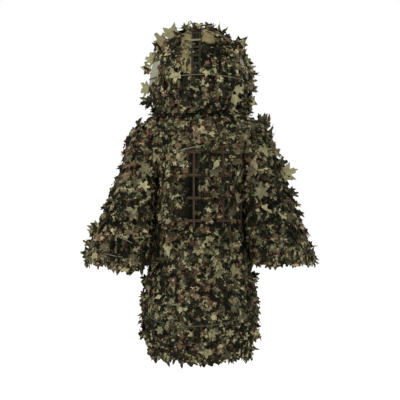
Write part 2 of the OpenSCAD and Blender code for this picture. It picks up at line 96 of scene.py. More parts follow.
def make_studio():
    scene = bpy.context.scene
    scene.view_settings.view_transform = "Standard"
    scene.world = bpy.data.worlds.new("studio")
    scene.world.use_nodes = True
    background = scene.world.node_tree.nodes["Background"]
    background.inputs["Color"].default_value = (1, 1, 1, 1)
    background.inputs["Strength"].default_value = 1.0
    add_area_light("key_back", BACK_LIGHT, 70)
    add_area_light("key_front", FRONT_LIGHT, 60)
    bpy.ops.mesh.primitive_plane_add(size=FLOOR_SIZE, location=(0, 0, FLOOR_Z))
    floor = bpy.context.object
    floor.name = "floor"
    shader = Shader("floor")
    shader.fill(shader.surface, {"Emission Color": (1, 1, 1, 1), "Emission Strength": 0.12})
    floor.data.materials.append(shader.finish((0.9, 0.9, 0.9, 1), 0.9, specular=0))


# ---------------------------------------------------------------- materials


def srgb(red, green, blue):
    """A colour given as it looks on a screen, 0 to 255, as the linear colour that nodes take."""
    linear = [c / 255 / 12.92 if c < 11 else ((c / 255 + 0.055) / 1.055) ** 2.4 for c in (red, green, blue)]
    return (*linear, 1)


class Shader:
    """A material's nodes, added by short calls. Inputs are sockets to link or values to set."""

    def __init__(self, name):
        self.material = bpy.data.materials.new(name)
        self.material.use_nodes = True
        self.tree = self.material.node_tree
        self.surface = self.tree.nodes["Principled BSDF"]

    def fill(self, node, inputs):
        for key, value in inputs.items():
            if isinstance(value, bpy.types.NodeSocket):
                self.tree.links.new(value, node.inputs[key])
            else:
                node.inputs[key].default_value = value

    def add(self, kind, output, inputs, **settings):
        node = self.tree.nodes.new("ShaderNode" + kind)
        for key, value in settings.items():
            setattr(node, key, value)
        self.fill(node, inputs)
        return node.outputs[output]

    def attribute(self, name, output="Fac"):
        return self.add("Attribute", output, {}, attribute_name=name)

    def cloth_place(self):
        """Where a point lay when the piece was made, which doesn't slide as the piece moves."""
        return self.attribute("cut", "Vector")

    def frame_place(self):
        return self.add("TexCoord", "Object", {})

    def math(self, operation, a, b=0.0, clamp=False):
        return self.add("Math", "Value", {0: a, 1: b}, operation=operation, use_clamp=clamp)

    def times(self, a, b):
        return self.math("MULTIPLY", a, b)

    def above(self, a, limit):
        """1 where a is over a limit, and 0 elsewhere."""
        return self.math("GREATER_THAN", a, limit)

    def vector(self, operation, a, b):
        return self.add("VectorMath", "Vector", {0: a, 1: b}, operation=operation)

    def scaled(self, colour, gain):
        return self.add("VectorMath", "Vector", {0: colour, "Scale": gain}, operation="SCALE")

    def noise(self, where, scale, detail=2.0, output="Fac"):
        return self.add("TexNoise", output, {"Vector": where, "Scale": scale, "Detail": detail})

    def cells(self, where, scale):
        return self.add("TexVoronoi", "Distance", {"Vector": where, "Scale": scale})

    def stripes(self, where, per_metre, direction):
        """Smooth bands: a wave texture's scale counts twenty radians for each metre."""
        scale = per_metre * 2 * math.pi / 20
        return self.add("TexWave", "Fac", {"Vector": where, "Scale": scale}, bands_direction=direction)

    def weave(self, where, threads_per_metre):
        across = self.stripes(where, threads_per_metre, "X")
        return self.times(across, self.stripes(where, threads_per_metre, "Z"))

    def mix(self, share, a, b):
        node = self.tree.nodes.new("ShaderNodeMix")
        node.data_type = "RGBA"
        self.fill(node, {0: share, 6: a, 7: b})
        return node.outputs[2]

    def bump(self, height, strength, distance):
        normal = self.add("Bump", "Normal", {"Height": height, "Strength": strength, "Distance": distance})
        self.fill(self.surface, {"Normal": normal})

    def finish(self, colour, roughness, specular=0.05):
        self.fill(self.surface, {
            "Base Color": colour, "Roughness": roughness, "Specular IOR Level": specular})
        return self.material


PRINT_GROUND = srgb(86, 83, 58)
# Ragged islands laid one on the next: colour, islands per metre, height left bare, pull of broad patches
PRINT_ISLANDS = [
    (srgb(46, 50, 35), 27, 0.545, 0.3),
    (srgb(94, 70, 52), 30, 0.618, 0.62),
    (srgb(144, 138, 104), 48, 0.655, 0.36),
    (srgb(17, 16, 10), 42, 0.61, 0.35),
]
PATCHES_PER_METRE = 7
SPECKS_PER_METRE = 150
SPECK_DEPTH = 0.2
EDGE_WOBBLE = 0.014


def camouflage(shader, where):
    """Speckled four-colour print over a ground colour, where = a place on the cloth in metres."""
    wobble = shader.vector("SUBTRACT", shader.noise(where, 120, 3, "Color"), (0.5, 0.5, 0.5))
    ragged = shader.vector("ADD", where, shader.vector("MULTIPLY", wobble, (EDGE_WOBBLE,) * 3))
    specks = shader.times(shader.cells(where, SPECKS_PER_METRE), SPECK_DEPTH)
    colour = PRINT_GROUND
    for number, (island_colour, scale, bare, pull) in enumerate(PRINT_ISLANDS):
        shift = (0.37 * number, 1.3 * number, 0.71 * number)
        height = shader.math("ADD", shader.noise(shader.vector("ADD", ragged, shift), scale, 1.5), specks)
        patch = shader.noise(shader.vector("SUBTRACT", where, shift), PATCHES_PER_METRE, 1)
        patch = shader.times(shader.math("SUBTRACT", patch, 0.5), pull)
        inside = shader.above(shader.math("ADD", height, patch), bare)
        colour = shader.mix(inside, colour, island_colour)
    return colour


# How far out towards its rim a leaf's colour starts to take painted shade
RIM_SHADE_FROM = 0.93
PALE_LEAF_TONE = 0.965


def leaf_material():
    """Printed leaf cloth: cut edges darkened with painted shade, some leaves showing their plain pale side.
    """
    shader = Shader("leaf_cloth")
    cut = shader.cloth_place()
    printed = camouflage(shader, cut)
    faded = shader.mix(0.4, printed, srgb(112, 107, 82))
    printed = shader.mix(shader.attribute("reverse"), printed, faded)
    pale = shader.above(shader.attribute("tone"), PALE_LEAF_TONE)
    mottle = shader.mix(shader.noise(cut, 70, 3), srgb(126, 121, 86), srgb(170, 165, 126))
    printed = shader.mix(shader.times(pale, 0.7), printed, mottle)
    fluff = shader.times(shader.noise(cut, 260, 4), 0.3)
    printed = shader.mix(fluff, printed, srgb(62, 58, 40))
    # Painted shade: each leaf's colour darkens along its rim
    rim_shade = shader.above(shader.attribute("edge"), RIM_SHADE_FROM)
    printed = shader.mix(shader.times(rim_shade, 0.5), printed, srgb(30, 27, 18))
    printed = shader.scaled(printed, shader.attribute("gain"))
    shader.bump(shader.weave(cut, 1300), 0.25, 0.0005)
    return shader.finish(printed, 0.85)


def ground_material():
    """The body cloth under the leaves: the same print, darker with painted shade, crossed by die-cut slits.
    """
    shader = Shader("leaf_mesh")
    where = shader.cloth_place()
    # Painted shade: the print is mixed towards near-black for the shadow of the leaves over the cloth
    printed = shader.mix(0.55, camouflage(shader, where), srgb(18, 17, 11))
    tan = shader.mix(shader.noise(where, 38, 3), srgb(78, 70, 47), srgb(142, 131, 94))
    printed = shader.mix(shader.attribute("tan"), printed, tan)
    stretched = shader.vector("MULTIPLY", where, (1, 1, 0.35))
    slits = shader.above(shader.noise(stretched, 60, 2), 0.585)
    printed = shader.mix(shader.times(slits, 0.85), printed, srgb(10, 9, 6))
    # Painted shade: gain darkens the cloth in the grooves, sleeve gaps and hood strip
    printed = shader.scaled(printed, shader.attribute("gain"))
    shader.bump(shader.weave(where, 800), 0.4, 0.0008)
    return shader.finish(printed, 0.9)


def sheer_material():
    """Open netting that lets light through."""
    shader = Shader("sheer_mesh")
    where = shader.cloth_place()
    net = shader.weave(where, 520)
    tint = shader.mix(shader.noise(where, 26, 3), srgb(128, 128, 104), srgb(186, 184, 164))
    tint = shader.mix(shader.times(net, 0.45), tint, srgb(92, 92, 70))
    holes = shader.above(shader.weave(where, 130), 0.55)
    tint = shader.mix(shader.times(holes, 0.3), tint, srgb(70, 70, 54))
    stain = shader.above(shader.noise(where, 34, 3), 0.6)
    tint = shader.mix(shader.times(stain, 0.3), tint, srgb(88, 86, 66))
    shader.bump(net, 0.5, 0.0006)
    shader.surface.inputs["Alpha"].default_value = 0.7
    return shader.finish(tint, 0.8)


def tape_material(name, light, dark):
    """Ribbed woven tape with a rubbed, stained face."""
    shader = Shader(name)
    where = shader.frame_place()
    ribs = shader.stripes(where, 1000, "Z")
    stain = shader.math("MULTIPLY", shader.noise(where, 48, 4), 1.2, clamp=True)
    colour = shader.mix(stain, light, dark)
    colour = shader.mix(shader.times(ribs, 0.35), colour, dark)
    shader.bump(ribs, 0.5, 0.0006)
    return shader.finish(colour, 0.85)


def cord_material(name, light, dark):
    """Braided cord: crossing strands and grime."""
    shader = Shader(name)
    where = shader.frame_place()
    strands = shader.weave(shader.vector("MULTIPLY", where, (1, 1, 1.4)), 900)
    colour = shader.mix(strands, light, dark)
    grime = shader.times(shader.noise(where, 70, 3), 0.7)
    colour = shader.mix(grime, colour, dark)
    shader.bump(strands, 0.7, 0.0006)
    return shader.finish(colour, 0.8)


def metal_material():
    """Blackened zip metal, worn bright where noise breaks the coating."""
    shader = Shader("zip_metal")
    where = shader.frame_place()
    worn = shader.above(shader.noise(where, 420, 5), 0.6)
    colour = shader.mix(worn, srgb(58, 58, 54), srgb(150, 148, 140))
    shader.surface.inputs["Metallic"].default_value = 0.85
    rough = shader.math("ADD", shader.times(shader.noise(where, 300, 3), 0.25), 0.3)
    shader.bump(shader.noise(where, 900, 3), 0.2, 0.0003)
    return shader.finish(colour, rough, specular=0.5)


def coil_material():
    """Moulded nylon teeth, dusty in the hollows."""
    shader = Shader("zip_coil")
    where = shader.frame_place()
    dust = shader.noise(where, 240, 4)
    colour = shader.mix(dust, srgb(26, 27, 20), srgb(74, 74, 56))
    shader.bump(dust, 0.3, 0.0003)
    return shader.finish(colour, 0.45, specular=0.4)


# ---------------------------------------------------------------- the suit's surfaces

HIP = 0.214
CHEST = 0.161
SHOULDER = 0.222
NECK_HALF_WIDTH = 0.15
NECK_HALF_DEPTH = 0.106
NECK_Z = -0.008
SHOULDER_Z = -0.045
UNDERARM_Z = -0.25
HEM_Z = -0.935
CUFF_Z = -0.575
CLOTH = 0.0024


def profile(*rows, smoothing=0.03):
    """A smooth function through (height, value) rows."""
    heights, values = np.array(sorted(rows)).T
    step = 0.002
    dense = np.arange(heights[0], heights[-1] + step, step)
    linear = np.interp(dense, heights, values)
    half = max(1, int(smoothing / step / 2))
    window = np.hanning(2 * half + 3)[1:-1]
    padded = np.concatenate([
        2 * linear[0] - linear[half:0:-1], linear, 2 * linear[-1] - linear[-2:-half - 2:-1]])
    smooth = np.convolve(padded, window / window.sum(), "valid")
    return lambda at: np.interp(at, dense, smooth)


def between(share, a=CHEST, b=HIP):
    return a + (b - a) * share


body_half_width = profile(
    (-0.995, HIP - 0.06), (HEM_Z, HIP - 0.038), (-0.88, HIP - 0.013), (-0.83, HIP - 0.002), (-0.75, HIP),
    (-0.65, between(0.72)), (-0.56, between(0.44)), (-0.45, between(0.2)), (-0.33, CHEST),
    (UNDERARM_Z, CHEST + 0.001), (-0.2, between(0.3, b=SHOULDER)), (-0.15, between(0.72, b=SHOULDER)),
    (-0.1, SHOULDER), (-0.06, SHOULDER - 0.005), (SHOULDER_Z, SHOULDER - 0.012),
    (-0.02, between(0.5, NECK_HALF_WIDTH, SHOULDER)), (NECK_Z, NECK_HALF_WIDTH), (0.014, 0.147),
    smoothing=0.016)
body_back_depth = profile(
    (-0.995, 0.133), (HEM_Z, 0.143), (-0.88, 0.153), (-0.8, 0.158), (-0.64, 0.149), (-0.48, 0.139),
    (-0.3, 0.15), (-0.2, 0.155), (-0.1, 0.147), (SHOULDER_Z, 0.1285), (NECK_Z, NECK_HALF_DEPTH),
    (0.014, 0.104), smoothing=0.016)
body_front_depth = profile(
    (-0.995, 0.126), (HEM_Z, 0.132), (-0.88, 0.138), (-0.8, 0.14), (-0.6, 0.132), (-0.056, 0.132),
    (SHOULDER_Z, 0.128), (NECK_Z, NECK_HALF_DEPTH), (0.014, 0.104), smoothing=0.012)


def body_point(angle, z):
    """Angle is in degrees round the body: 0 at the middle of the back, 90 at the wearer's left."""
    a = np.radians(angle)
    depth = np.where(np.cos(a) > 0, body_back_depth(z), body_front_depth(z))
    return np.stack([body_half_width(z) * np.sin(a), depth * np.cos(a), z + 0 * a], -1)


def armhole_angle(z):
    inside = (z < SHOULDER_Z) & (z > UNDERARM_Z)
    share = (z - UNDERARM_Z) / (SHOULDER_Z - UNDERARM_Z)
    return np.where(inside, 90 - 32 * np.sin(np.pi * np.clip(share, 0, 1)), 90.0)


HOOD_HALF_WIDTH = 0.196
HOOD_HALF_DEPTH = 0.16
HOOD_HEIGHT = 0.325
FACE_HALF_ANGLE = 52
CHIN_GAP = 3
# Below its seam, at negative heights, the hood's edge hangs over the neck of the body
HOOD_EDGE = -0.14
hood_height = profile(
    (-0.15, -0.015), (0, 0.008), (0.15, 0.17 * HOOD_HEIGHT), (0.3, 0.32 * HOOD_HEIGHT),
    (0.45, 0.49 * HOOD_HEIGHT), (0.6, 0.65 * HOOD_HEIGHT), (0.72, 0.77 * HOOD_HEIGHT),
    (0.83, 0.875 * HOOD_HEIGHT), (0.92, 0.955 * HOOD_HEIGHT), (1, HOOD_HEIGHT), smoothing=0.08)
hood_half_width = profile(
    (-0.15, HOOD_HALF_WIDTH - 0.008), (0, HOOD_HALF_WIDTH - 0.025), (0.15, HOOD_HALF_WIDTH - 0.008),
    (0.3, HOOD_HALF_WIDTH), (0.45, HOOD_HALF_WIDTH - 0.006), (0.6, HOOD_HALF_WIDTH - 0.024),
    (0.72, 0.745 * HOOD_HALF_WIDTH), (0.83, 0.55 * HOOD_HALF_WIDTH), (0.92, 0.33 * HOOD_HALF_WIDTH),
    (1, 0.002), smoothing=0.08)
hood_half_depth = profile(
    (-0.15, 0.84 * HOOD_HALF_DEPTH), (0, 0.76 * HOOD_HALF_DEPTH), (0.15, 0.88 * HOOD_HALF_DEPTH),
    (0.3, 0.97 * HOOD_HALF_DEPTH), (0.45, HOOD_HALF_DEPTH), (0.6, 0.94 * HOOD_HALF_DEPTH),
    (0.72, 0.8 * HOOD_HALF_DEPTH), (0.83, 0.6 * HOOD_HALF_DEPTH), (0.92, 0.37 * HOOD_HALF_DEPTH),
    (1, 0.002), smoothing=0.08)


def hood_point(angle, h):
    """h runs from 0 at the neck seam to 1 at the crown."""
    a = np.radians(angle)
    return np.stack([
        hood_half_width(h) * np.sin(a), hood_half_depth(h) * np.cos(a), hood_height(h) + 0 * a], -1)


def face_angle(h):
    """Half angle of the face opening, from the middle of the front."""
    share = np.clip((h - 0.04) / 0.8, 0, 1)
    return CHIN_GAP + (FACE_HALF_ANGLE - CHIN_GAP) * np.sin(np.pi * share)


sleeve_centre = profile(
    (-0.64, 0.315), (CUFF_Z, 0.313), (-0.485, 0.298), (-0.385, 0.272), (-0.32, 0.257), (-0.266, 0.246),
    (UNDERARM_Z, 0.24), (-0.225, 0.23), (-0.2, 0.215), (-0.15, 0.184), (-0.1, 0.211), (-0.08, 0.218),
    (-0.06, 0.222), (-0.045, 0.216), smoothing=0.02)
sleeve_half_width = profile(
    (-0.64, 0.121), (CUFF_Z, 0.12), (-0.485, 0.113), (-0.385, 0.097), (-0.32, 0.088), (-0.266, 0.077),
    (UNDERARM_Z, 0.072), (-0.225, 0.074), (-0.2, 0.08), (-0.15, 0.101), (-0.1, 0.061), (-0.08, 0.042),
    (-0.06, 0.023), (-0.045, 0.012), smoothing=0.02)
sleeve_half_depth = profile(
    (-0.64, 0.108), (CUFF_Z, 0.108), (-0.385, 0.098), (UNDERARM_Z, 0.093), (-0.2, 0.092),
    (-0.15, 0.086), (-0.1, 0.063), (-0.08, 0.046), (-0.06, 0.025), (-0.045, 0.012), smoothing=0.02)
sleeve_reach = profile(
    (-0.64, 180), (UNDERARM_Z - 0.012, 180), (UNDERARM_Z, 156), (-0.225, 140), (-0.2, 123),
    (-0.15, 92), (-0.045, 90), smoothing=0.01)


def left_sleeve_point(angle, z):
    """Angle 0 is outward, 90 is towards the back, 180 is towards the body."""
    a = np.radians(angle)
    return np.stack([
        sleeve_centre(z) + sleeve_half_width(z) * np.cos(a), sleeve_half_depth(z) * np.sin(a), z + 0 * a], -1)


def right_sleeve_point(angle, z):
    return left_sleeve_point(angle, z) * np.array([-1, 1, 1])


PROBE_ANGLE = 0.5
PROBE_HEIGHT = 0.002
FOLD_WAVES = 7
TINY = 1e-12


class Surface:
    """A shell addressed by an angle and a height, with folds pushed along its outward normal."""

    def __init__(self, point, inside, seed, fold_depth):
        self.point = point
        self.inside = inside
        self.seed = seed
        self.fold_depth = fold_depth

    def plain_frame(self, point, u, v):
        place = point(u, v)
        along_u = point(u + PROBE_ANGLE, v) - point(u - PROBE_ANGLE, v)
        along_v = point(u, v + PROBE_HEIGHT) - point(u, v - PROBE_HEIGHT)
        normal = np.cross(along_v, along_u)
        normal /= np.linalg.norm(normal, axis=-1, keepdims=True) + TINY
        outward = np.sum(normal * (place - self.inside(place)), -1, keepdims=True)
        normal = normal * np.where(outward < 0, -1, 1)
        down = -along_v / (np.linalg.norm(along_v, axis=-1, keepdims=True) + TINY)
        return place, normal, down

    def folds(self, u, v):
        """Soft folds that run mostly down the cloth: a height for each angle and height."""
        rng = np.random.default_rng(self.seed)
        total = 0
        for number in range(FOLD_WAVES):
            count = rng.integers(2, 9)
            drift = rng.uniform(-5, 5)
            swell = 1 + 0.5 * np.sin(v * rng.uniform(3, 9) + rng.uniform(0, 6))
            wave = np.sin(np.radians(u) * count + drift * v + rng.uniform(0, 6))
            total = total + swell * wave / (number + 2)
        return self.fold_depth * total

    def __call__(self, u, v):
        place, normal, _ = self.plain_frame(self.point, u, v)
        return place + normal * self.folds(u, v)[..., None]

    def frame(self, u, v):
        """Place, outward normal and downhill direction at each u, v."""
        return self.plain_frame(self, np.asarray(u, float), np.asarray(v, float))

    def lifted(self, u, v, lift):
        place, normal, _ = self.frame(u, v)
        return place + normal * lift


def axis_inside(x):
    """The point at the same height on an upright line at x."""
    def inside(place):
        z = place[..., 2]
        return np.stack([x(z), 0 * z, z], -1)
    return inside


def hood_inside(place):
    return np.broadcast_to(np.array([0, 0, 0.13]), place.shape)


body = Surface(body_point, axis_inside(lambda z: 0 * z), 3, 0.0035)
hood = Surface(hood_point, hood_inside, 8, 0.0025)
left_sleeve = Surface(left_sleeve_point, axis_inside(sleeve_centre), 5, 0.004)
right_sleeve = Surface(right_sleeve_point, axis_inside(lambda z: -sleeve_centre(z)), 6, 0.004)


def back_angle(x, z):
    """Angle on the back of the body at a distance across it."""
    return np.degrees(np.arcsin(np.clip(x / body_half_width(z), -1, 1)))


def hood_angle(x, h):
    return np.degrees(np.arcsin(np.clip(x / hood_half_width(h), -1, 1)))


def sleeve_angle(x, z):
    """Angle on the back of a sleeve at a distance from the middle of the body."""
    return np.degrees(np.arccos(np.clip((abs(x) - sleeve_centre(z)) / sleeve_half_width(z), -1, 1)))


def height_to_hood(z):
    """The hood's height share, 0 to 1, at a height in metres."""
    shares = np.linspace(HOOD_EDGE, 1, 200)
    return np.interp(z, hood_height(shares), shares)


# ---------------------------------------------------------------- mesh building


def set_values(mesh, name, kind, values):
    layer = mesh.attributes.new(name, kind, "POINT")
    field = "vector" if kind == "FLOAT_VECTOR" else "value"
    layer.data.foreach_set(field, np.asarray(values, np.float32).ravel())


def new_mesh(name, points, faces, material, cut=None):
    """A smooth mesh. cut is where each point lies on its print, or else the point's own place."""
    mesh = bpy.data.meshes.new(name)
    mesh.from_pydata(np.asarray(points).tolist(), [], faces)
    mesh.materials.append(material)
    mesh.shade_smooth()
    set_values(mesh, "cut", "FLOAT_VECTOR", points if cut is None else cut)
    return link(name, mesh)


def thicken(piece, thickness):
    solid = piece.modifiers.new("thickness", "SOLIDIFY")
    solid.thickness = thickness
    solid.offset = 0


def grid_faces(rows, columns, closed=False):
    faces = []
    for j in range(rows - 1):
        for i in range(columns if closed else columns - 1):
            a = j * columns + i
            b = j * columns + (i + 1) % columns
            faces.append((a, b, b + columns, a + columns))
    return faces


def add_bar(points, faces, rings, turned=False):
    """Adds a bar through rings of points, with closed ends. turned is for rings that run the other way."""
    first = len(points)
    sides = len(rings[0])
    for ring in rings:
        points.extend(ring)
    last = first + (len(rings) - 1) * sides
    bar = [tuple(first + k for k in face) for face in grid_faces(len(rings), sides, closed=True)]
    bar.append(tuple(range(first, first + sides))[::-1])
    bar.append(tuple(range(last, last + sides)))
    faces.extend(face[::-1] if turned else face for face in bar)


SHEET_THICKNESS = 0.0012


def cloth_sheet(name, surface, u_of, vs, columns, material, lift, closed=False, thickness=SHEET_THICKNESS,
                skip=None, shades=None):
    """A thin sheet on a surface. u_of(v) gives the first and last angle of each row, skip(u, v) says
    where it has holes, and shades(u, v) gives each point's gain and share of tan."""
    us = []
    for v in vs:
        first, last = u_of(v)
        us.append(np.linspace(first, last, columns + 1 if closed else columns)[:columns])
    us = np.concatenate(us)
    all_vs = np.repeat(vs, columns)
    points = surface.lifted(us, all_vs, lift)
    kept = np.ones(len(us), bool) if skip is None else ~skip(us, all_vs)
    faces = [f for f in grid_faces(len(vs), columns, closed) if kept[list(f)].all()]
    used = sorted({k for f in faces for k in f})
    number = {k: n for n, k in enumerate(used)}
    piece = new_mesh(name, points[used], [tuple(number[k] for k in f) for f in faces], material)
    gain, tan = shades(us[used], all_vs[used]) if shades else (np.ones(len(used)), np.zeros(len(used)))
    set_values(piece.data, "gain", "FLOAT", gain)
    set_values(piece.data, "tan", "FLOAT", tan)
    thicken(piece, thickness)
    return piece


def smooth_path(points, parts=6):
    """Catmull-Rom points through a route."""
    p = np.array([points[0], *points, points[-1]], float)
    t = np.linspace(0, 1, parts, endpoint=False)[:, None]
    path = [
        0.5 * (2 * b + (c - a) * t + (2 * a - 5 * b + 4 * c - d) * t ** 2 + (3 * b - 3 * c + d - a) * t ** 3)
        for a, b, c, d in zip(p, p[1:], p[2:], p[3:])
    ]
    return np.concatenate([*path, p[-1:]])


def round_line(name, path, diameter, material):
    """A round cord or thread along points, as a curve of one open spline."""
    data = bpy.data.curves.new(name, "CURVE")
    data.dimensions = "3D"
    data.bevel_depth = diameter / 2
    data.bevel_resolution = 3
    data.use_fill_caps = True
    spline = data.splines.new("POLY")
    spline.points.add(len(path) - 1)
    for point, place in zip(spline.points, path):
        point.co = (*place, 1)
    data.materials.append(material)
    return link(name, data)


STITCH_LENGTH = 0.0032
STITCH_PITCH = 0.005
THREAD = 0.0007


def stitches(name, rows, material):
    """Short raised threads along rows of points. Each row is (points, normals)."""
    points, faces = [], []
    for path, normals in rows:
        along = np.concatenate([[0], np.cumsum(np.linalg.norm(np.diff(path, axis=0), axis=1))])
        for start in np.arange(STITCH_PITCH, along[-1] - STITCH_PITCH, STITCH_PITCH):
            stops = start + STITCH_LENGTH * np.array([0, 0.25, 0.75, 1])
            at = np.stack([np.interp(stops, along, path[:, k]) for k in range(3)], 1)
            up = np.stack([np.interp(start, along, normals[:, k]) for k in range(3)])
            forward = at[-1] - at[0]
            forward /= np.linalg.norm(forward)
            side = np.cross(forward, up)
            at = at + up * THREAD * np.array([-0.4, 0.5, 0.5, -0.4])[:, None]
            add_bar(points, faces, [
                [middle + way * THREAD / 2 for way in (side, up, -side, -up)] for middle in at])
    return new_mesh(name, points, faces, material)


# ---------------------------------------------------------------- leaf shapes

# Half of a leaf's outline round its middle, from the tip to the stem: angle and reach
LEAF_RIMS = [
    [(0, 0.6), (9, 0.46), (17, 0.48), (28, 0.3), (44, 0.45), (53, 0.58), (62, 0.44), (72, 0.44), (86, 0.27),
     (100, 0.34), (112, 0.44), (127, 0.33), (150, 0.25), (172, 0.36)],
    [(0, 0.6), (15, 0.41), (30, 0.32), (47, 0.38), (62, 0.52), (78, 0.38), (95, 0.31), (113, 0.41),
     (132, 0.32), (155, 0.26), (172, 0.32)],
    [(0, 0.52), (13, 0.5), (24, 0.33), (38, 0.32), (50, 0.51), (66, 0.49), (79, 0.29), (96, 0.29),
     (108, 0.43), (124, 0.4), (141, 0.26), (166, 0.31)],
    [(0, 0.62), (14, 0.43), (27, 0.27), (50, 0.3), (68, 0.24), (92, 0.31), (112, 0.24), (140, 0.28),
     (170, 0.34)],
]
# How many of all leaves have each outline, and how many lie upside down
LEAF_SHARES = (0.38, 0.24, 0.26, 0.12)
FLIPPED_SHARE = 0.14
LEAF_MIDDLE = 0.4
LEAF_RING = 8
LEAF_RING_REACH = 0.16
LEAF_THICKNESS = 0.0007


def leaf_template(rim):
    """A leaf of length 1: its flat points, which are the rim, then a ring and the middle, its triangles
    and the number of rim points."""
    turns = [a for a, _ in rim] + [180] + [360 - a for a, _ in rim[:0:-1]]
    reach = [r for _, r in rim] + [LEAF_MIDDLE] + [r for _, r in rim[:0:-1]]
    ring_turns = [360 * (k + 0.5) / LEAF_RING for k in range(LEAF_RING)]
    count = len(turns)
    turn = np.radians(turns + ring_turns)
    far = np.array(reach + [LEAF_RING_REACH] * LEAF_RING)
    flat = np.stack([far * np.sin(turn), LEAF_MIDDLE + far * np.cos(turn)], 1)
    flat = np.concatenate([flat, [[0, LEAF_MIDDLE]]])
    triangles = []
    i = j = 0
    while i < count or j < LEAF_RING:
        outer_next = turns[i + 1] if i + 1 < count else 360
        inner_next = ring_turns[j + 1] if j + 1 < LEAF_RING else 360 + ring_turns[0]
        inner = count + j % LEAF_RING
        if j >= LEAF_RING or (i < count and outer_next <= inner_next):
            triangles.append((i % count, (i + 1) % count, inner))
            i += 1
        else:
            triangles.append((i % count, count + (j + 1) % LEAF_RING, inner))
            j += 1
    middle = count + LEAF_RING
    for k in range(LEAF_RING):
        triangles.append((count + k, count + (k + 1) % LEAF_RING, middle))
    return flat, np.array(triangles)[:, ::-1], count


LEAVES = [leaf_template(rim) for rim in LEAF_RIMS]


class LeafBed:
    """Leaves gathered for one region: where each grows, how it lies, and how it is cut."""

    def __init__(self, seed):
        self.rng = np.random.default_rng(seed)
        self.rows = []

    def sow(self, surface, us, vs, lift, tilt, spin, size, printed_as_laid=0.65, tones=None):
        """Adds leaves at us, vs. tilt and spin are (middle, spread) in degrees, and size is (least, most).
        printed_as_laid is the share of leaves whose print runs on from the cloth round them."""
        us = np.asarray(us, float)
        vs = np.asarray(vs, float)
        count = len(us)
        rng = self.rng
        place, normal, down = surface.frame(us, vs)
        turn = np.radians(spin[0] + spin[1] * rng.normal(0, 1, count))[:, None]
        rise = np.radians(np.clip(tilt[0] + tilt[1] * rng.normal(0, 1, count), 1, 85))[:, None]
        side = np.cross(down, normal)
        forward = down * np.cos(turn) + side * np.sin(turn)
        across = np.cross(forward, normal)
        tip = forward * np.cos(rise) + normal * np.sin(rise)
        face = normal * np.cos(rise) - forward * np.sin(rise)
        length = size[0] + (size[1] - size[0]) * rng.random(count)
        start = place + normal * (lift + 0.003 * rng.random(count))[:, None]
        start = start - tip * length[:, None] * (0.2 + 0.15 * np.cos(rise) ** 2)
        lively = 0.4 + 0.6 * np.clip(rise[:, 0] / 0.4, 0, 1)
        bends = np.stack([
            rng.normal(0.2, 0.4, count) * lively, rng.normal(-0.1, 0.3, count) * lively,
            rng.normal(0, 0.5, count) * lively, rng.uniform(0, 6.28, count)], 1)
        tone = rng.random(count) if tones is None else np.asarray(tones, float)
        gain = np.exp(rng.normal(-0.03, 0.22, count))
        shape = rng.choice(len(LEAVES), count, p=LEAF_SHARES)
        flipped = rng.random(count) < FLIPPED_SHARE
        apart = rng.random((count, 3)) * (rng.random(count) > printed_as_laid)[:, None]
        self.rows.append((us, start, across, tip, face, length, bends, tone, gain, shape, flipped, apart))

    def pin(self, surface, leaves, lift=0.004):
        """Adds single leaves: each is (angle, height, tilt, spin, length, tone)."""
        for u, v, rise, turn, length, tone in leaves:
            self.sow(surface, [u], [v], lift, (rise, 0), (turn, 0), (length, length), tones=[tone])

    def build(self, name, material, strips):
        """One piece for each strip of angles, numbered round the surface."""
        joined = [np.concatenate(parts) for parts in zip(*self.rows)]
        us = (joined[0] + 180) % 360
        strip = np.clip((us / 360 * strips).astype(int), 0, strips - 1)
        return [
            self.build_strip(
                f"{name}_{number + 1:02d}", material, [part[strip == number] for part in joined[1:]])
            for number in range(strips)
            if (strip == number).any()
        ]

    def build_strip(self, name, material, rows):
        start, across, tip, face, length, bends, tone, gain, shape, flipped, apart = rows
        points, faces, values = [], [], []
        base = 0
        for kind, (flat, triangles, rim) in enumerate(LEAVES):
            chosen = np.flatnonzero(shape == kind)
            x = flat[None, :, 0]
            y = flat[None, :, 1]
            cup, curl, twist, phase = (bends[chosen, k][:, None] for k in range(4))
            z = cup * x * x + curl * y * y + twist * x * (y - 0.3) + 0.03 * np.sin(9 * x + 7 * y + phase)
            scale = length[chosen][:, None]
            spine = np.arange(len(flat)) >= rim
            layers = []
            for thick, members in ((0.5, np.arange(len(flat))), (-0.5, np.flatnonzero(spine))):
                rise = z * scale + thick * LEAF_THICKNESS * spine
                local = (x * scale)[..., None] * across[chosen][:, None]
                local = local + (y * scale)[..., None] * tip[chosen][:, None]
                local = local + rise[..., None] * face[chosen][:, None]
                layers.append((start[chosen][:, None] + local)[:, members])
            laid = np.concatenate(layers, 1)
            each = laid.shape[1]
            points.append(laid.reshape(-1, 3))
            under = np.where(triangles >= rim, triangles + len(flat) - rim, triangles)[:, ::-1]
            one = np.concatenate([triangles, under])
            steps = (np.arange(len(chosen)) * each)[:, None, None]
            faces.append((one[None] + steps + base).reshape(-1, 3))
            base += each * len(chosen)
            lower = np.arange(each) >= len(flat)
            edge = np.arange(each) < rim
            values.append(np.stack([
                np.repeat(tone[chosen], each), np.repeat(gain[chosen], each),
                (flipped[chosen][:, None] ^ lower[None]).reshape(-1), np.tile(edge, len(chosen)),
            ], 1))
            apart_here = np.repeat(apart[chosen], each, 0)
            values[-1] = np.concatenate([values[-1], points[-1] + apart_here], 1)
        values = np.concatenate(values)
        piece = new_mesh(
            name, np.concatenate(points), np.concatenate(faces).tolist(), material, cut=values[:, 4:])
        mesh = piece.data
        for number, label in enumerate(("tone", "gain", "reverse", "edge")):
            set_values(mesh, label, "FLOAT", values[:, number])
        ends = np.empty(2 * len(mesh.edges), np.int32)
        mesh.edges.foreach_get("vertices", ends)
        on_rim = values[:, 3] > 0.5
        sharp = mesh.attributes.new("sharp_edge", "BOOLEAN", "EDGE")
        sharp.data.foreach_set("value", on_rim[ends].reshape(-1, 2).all(1))
        return piece


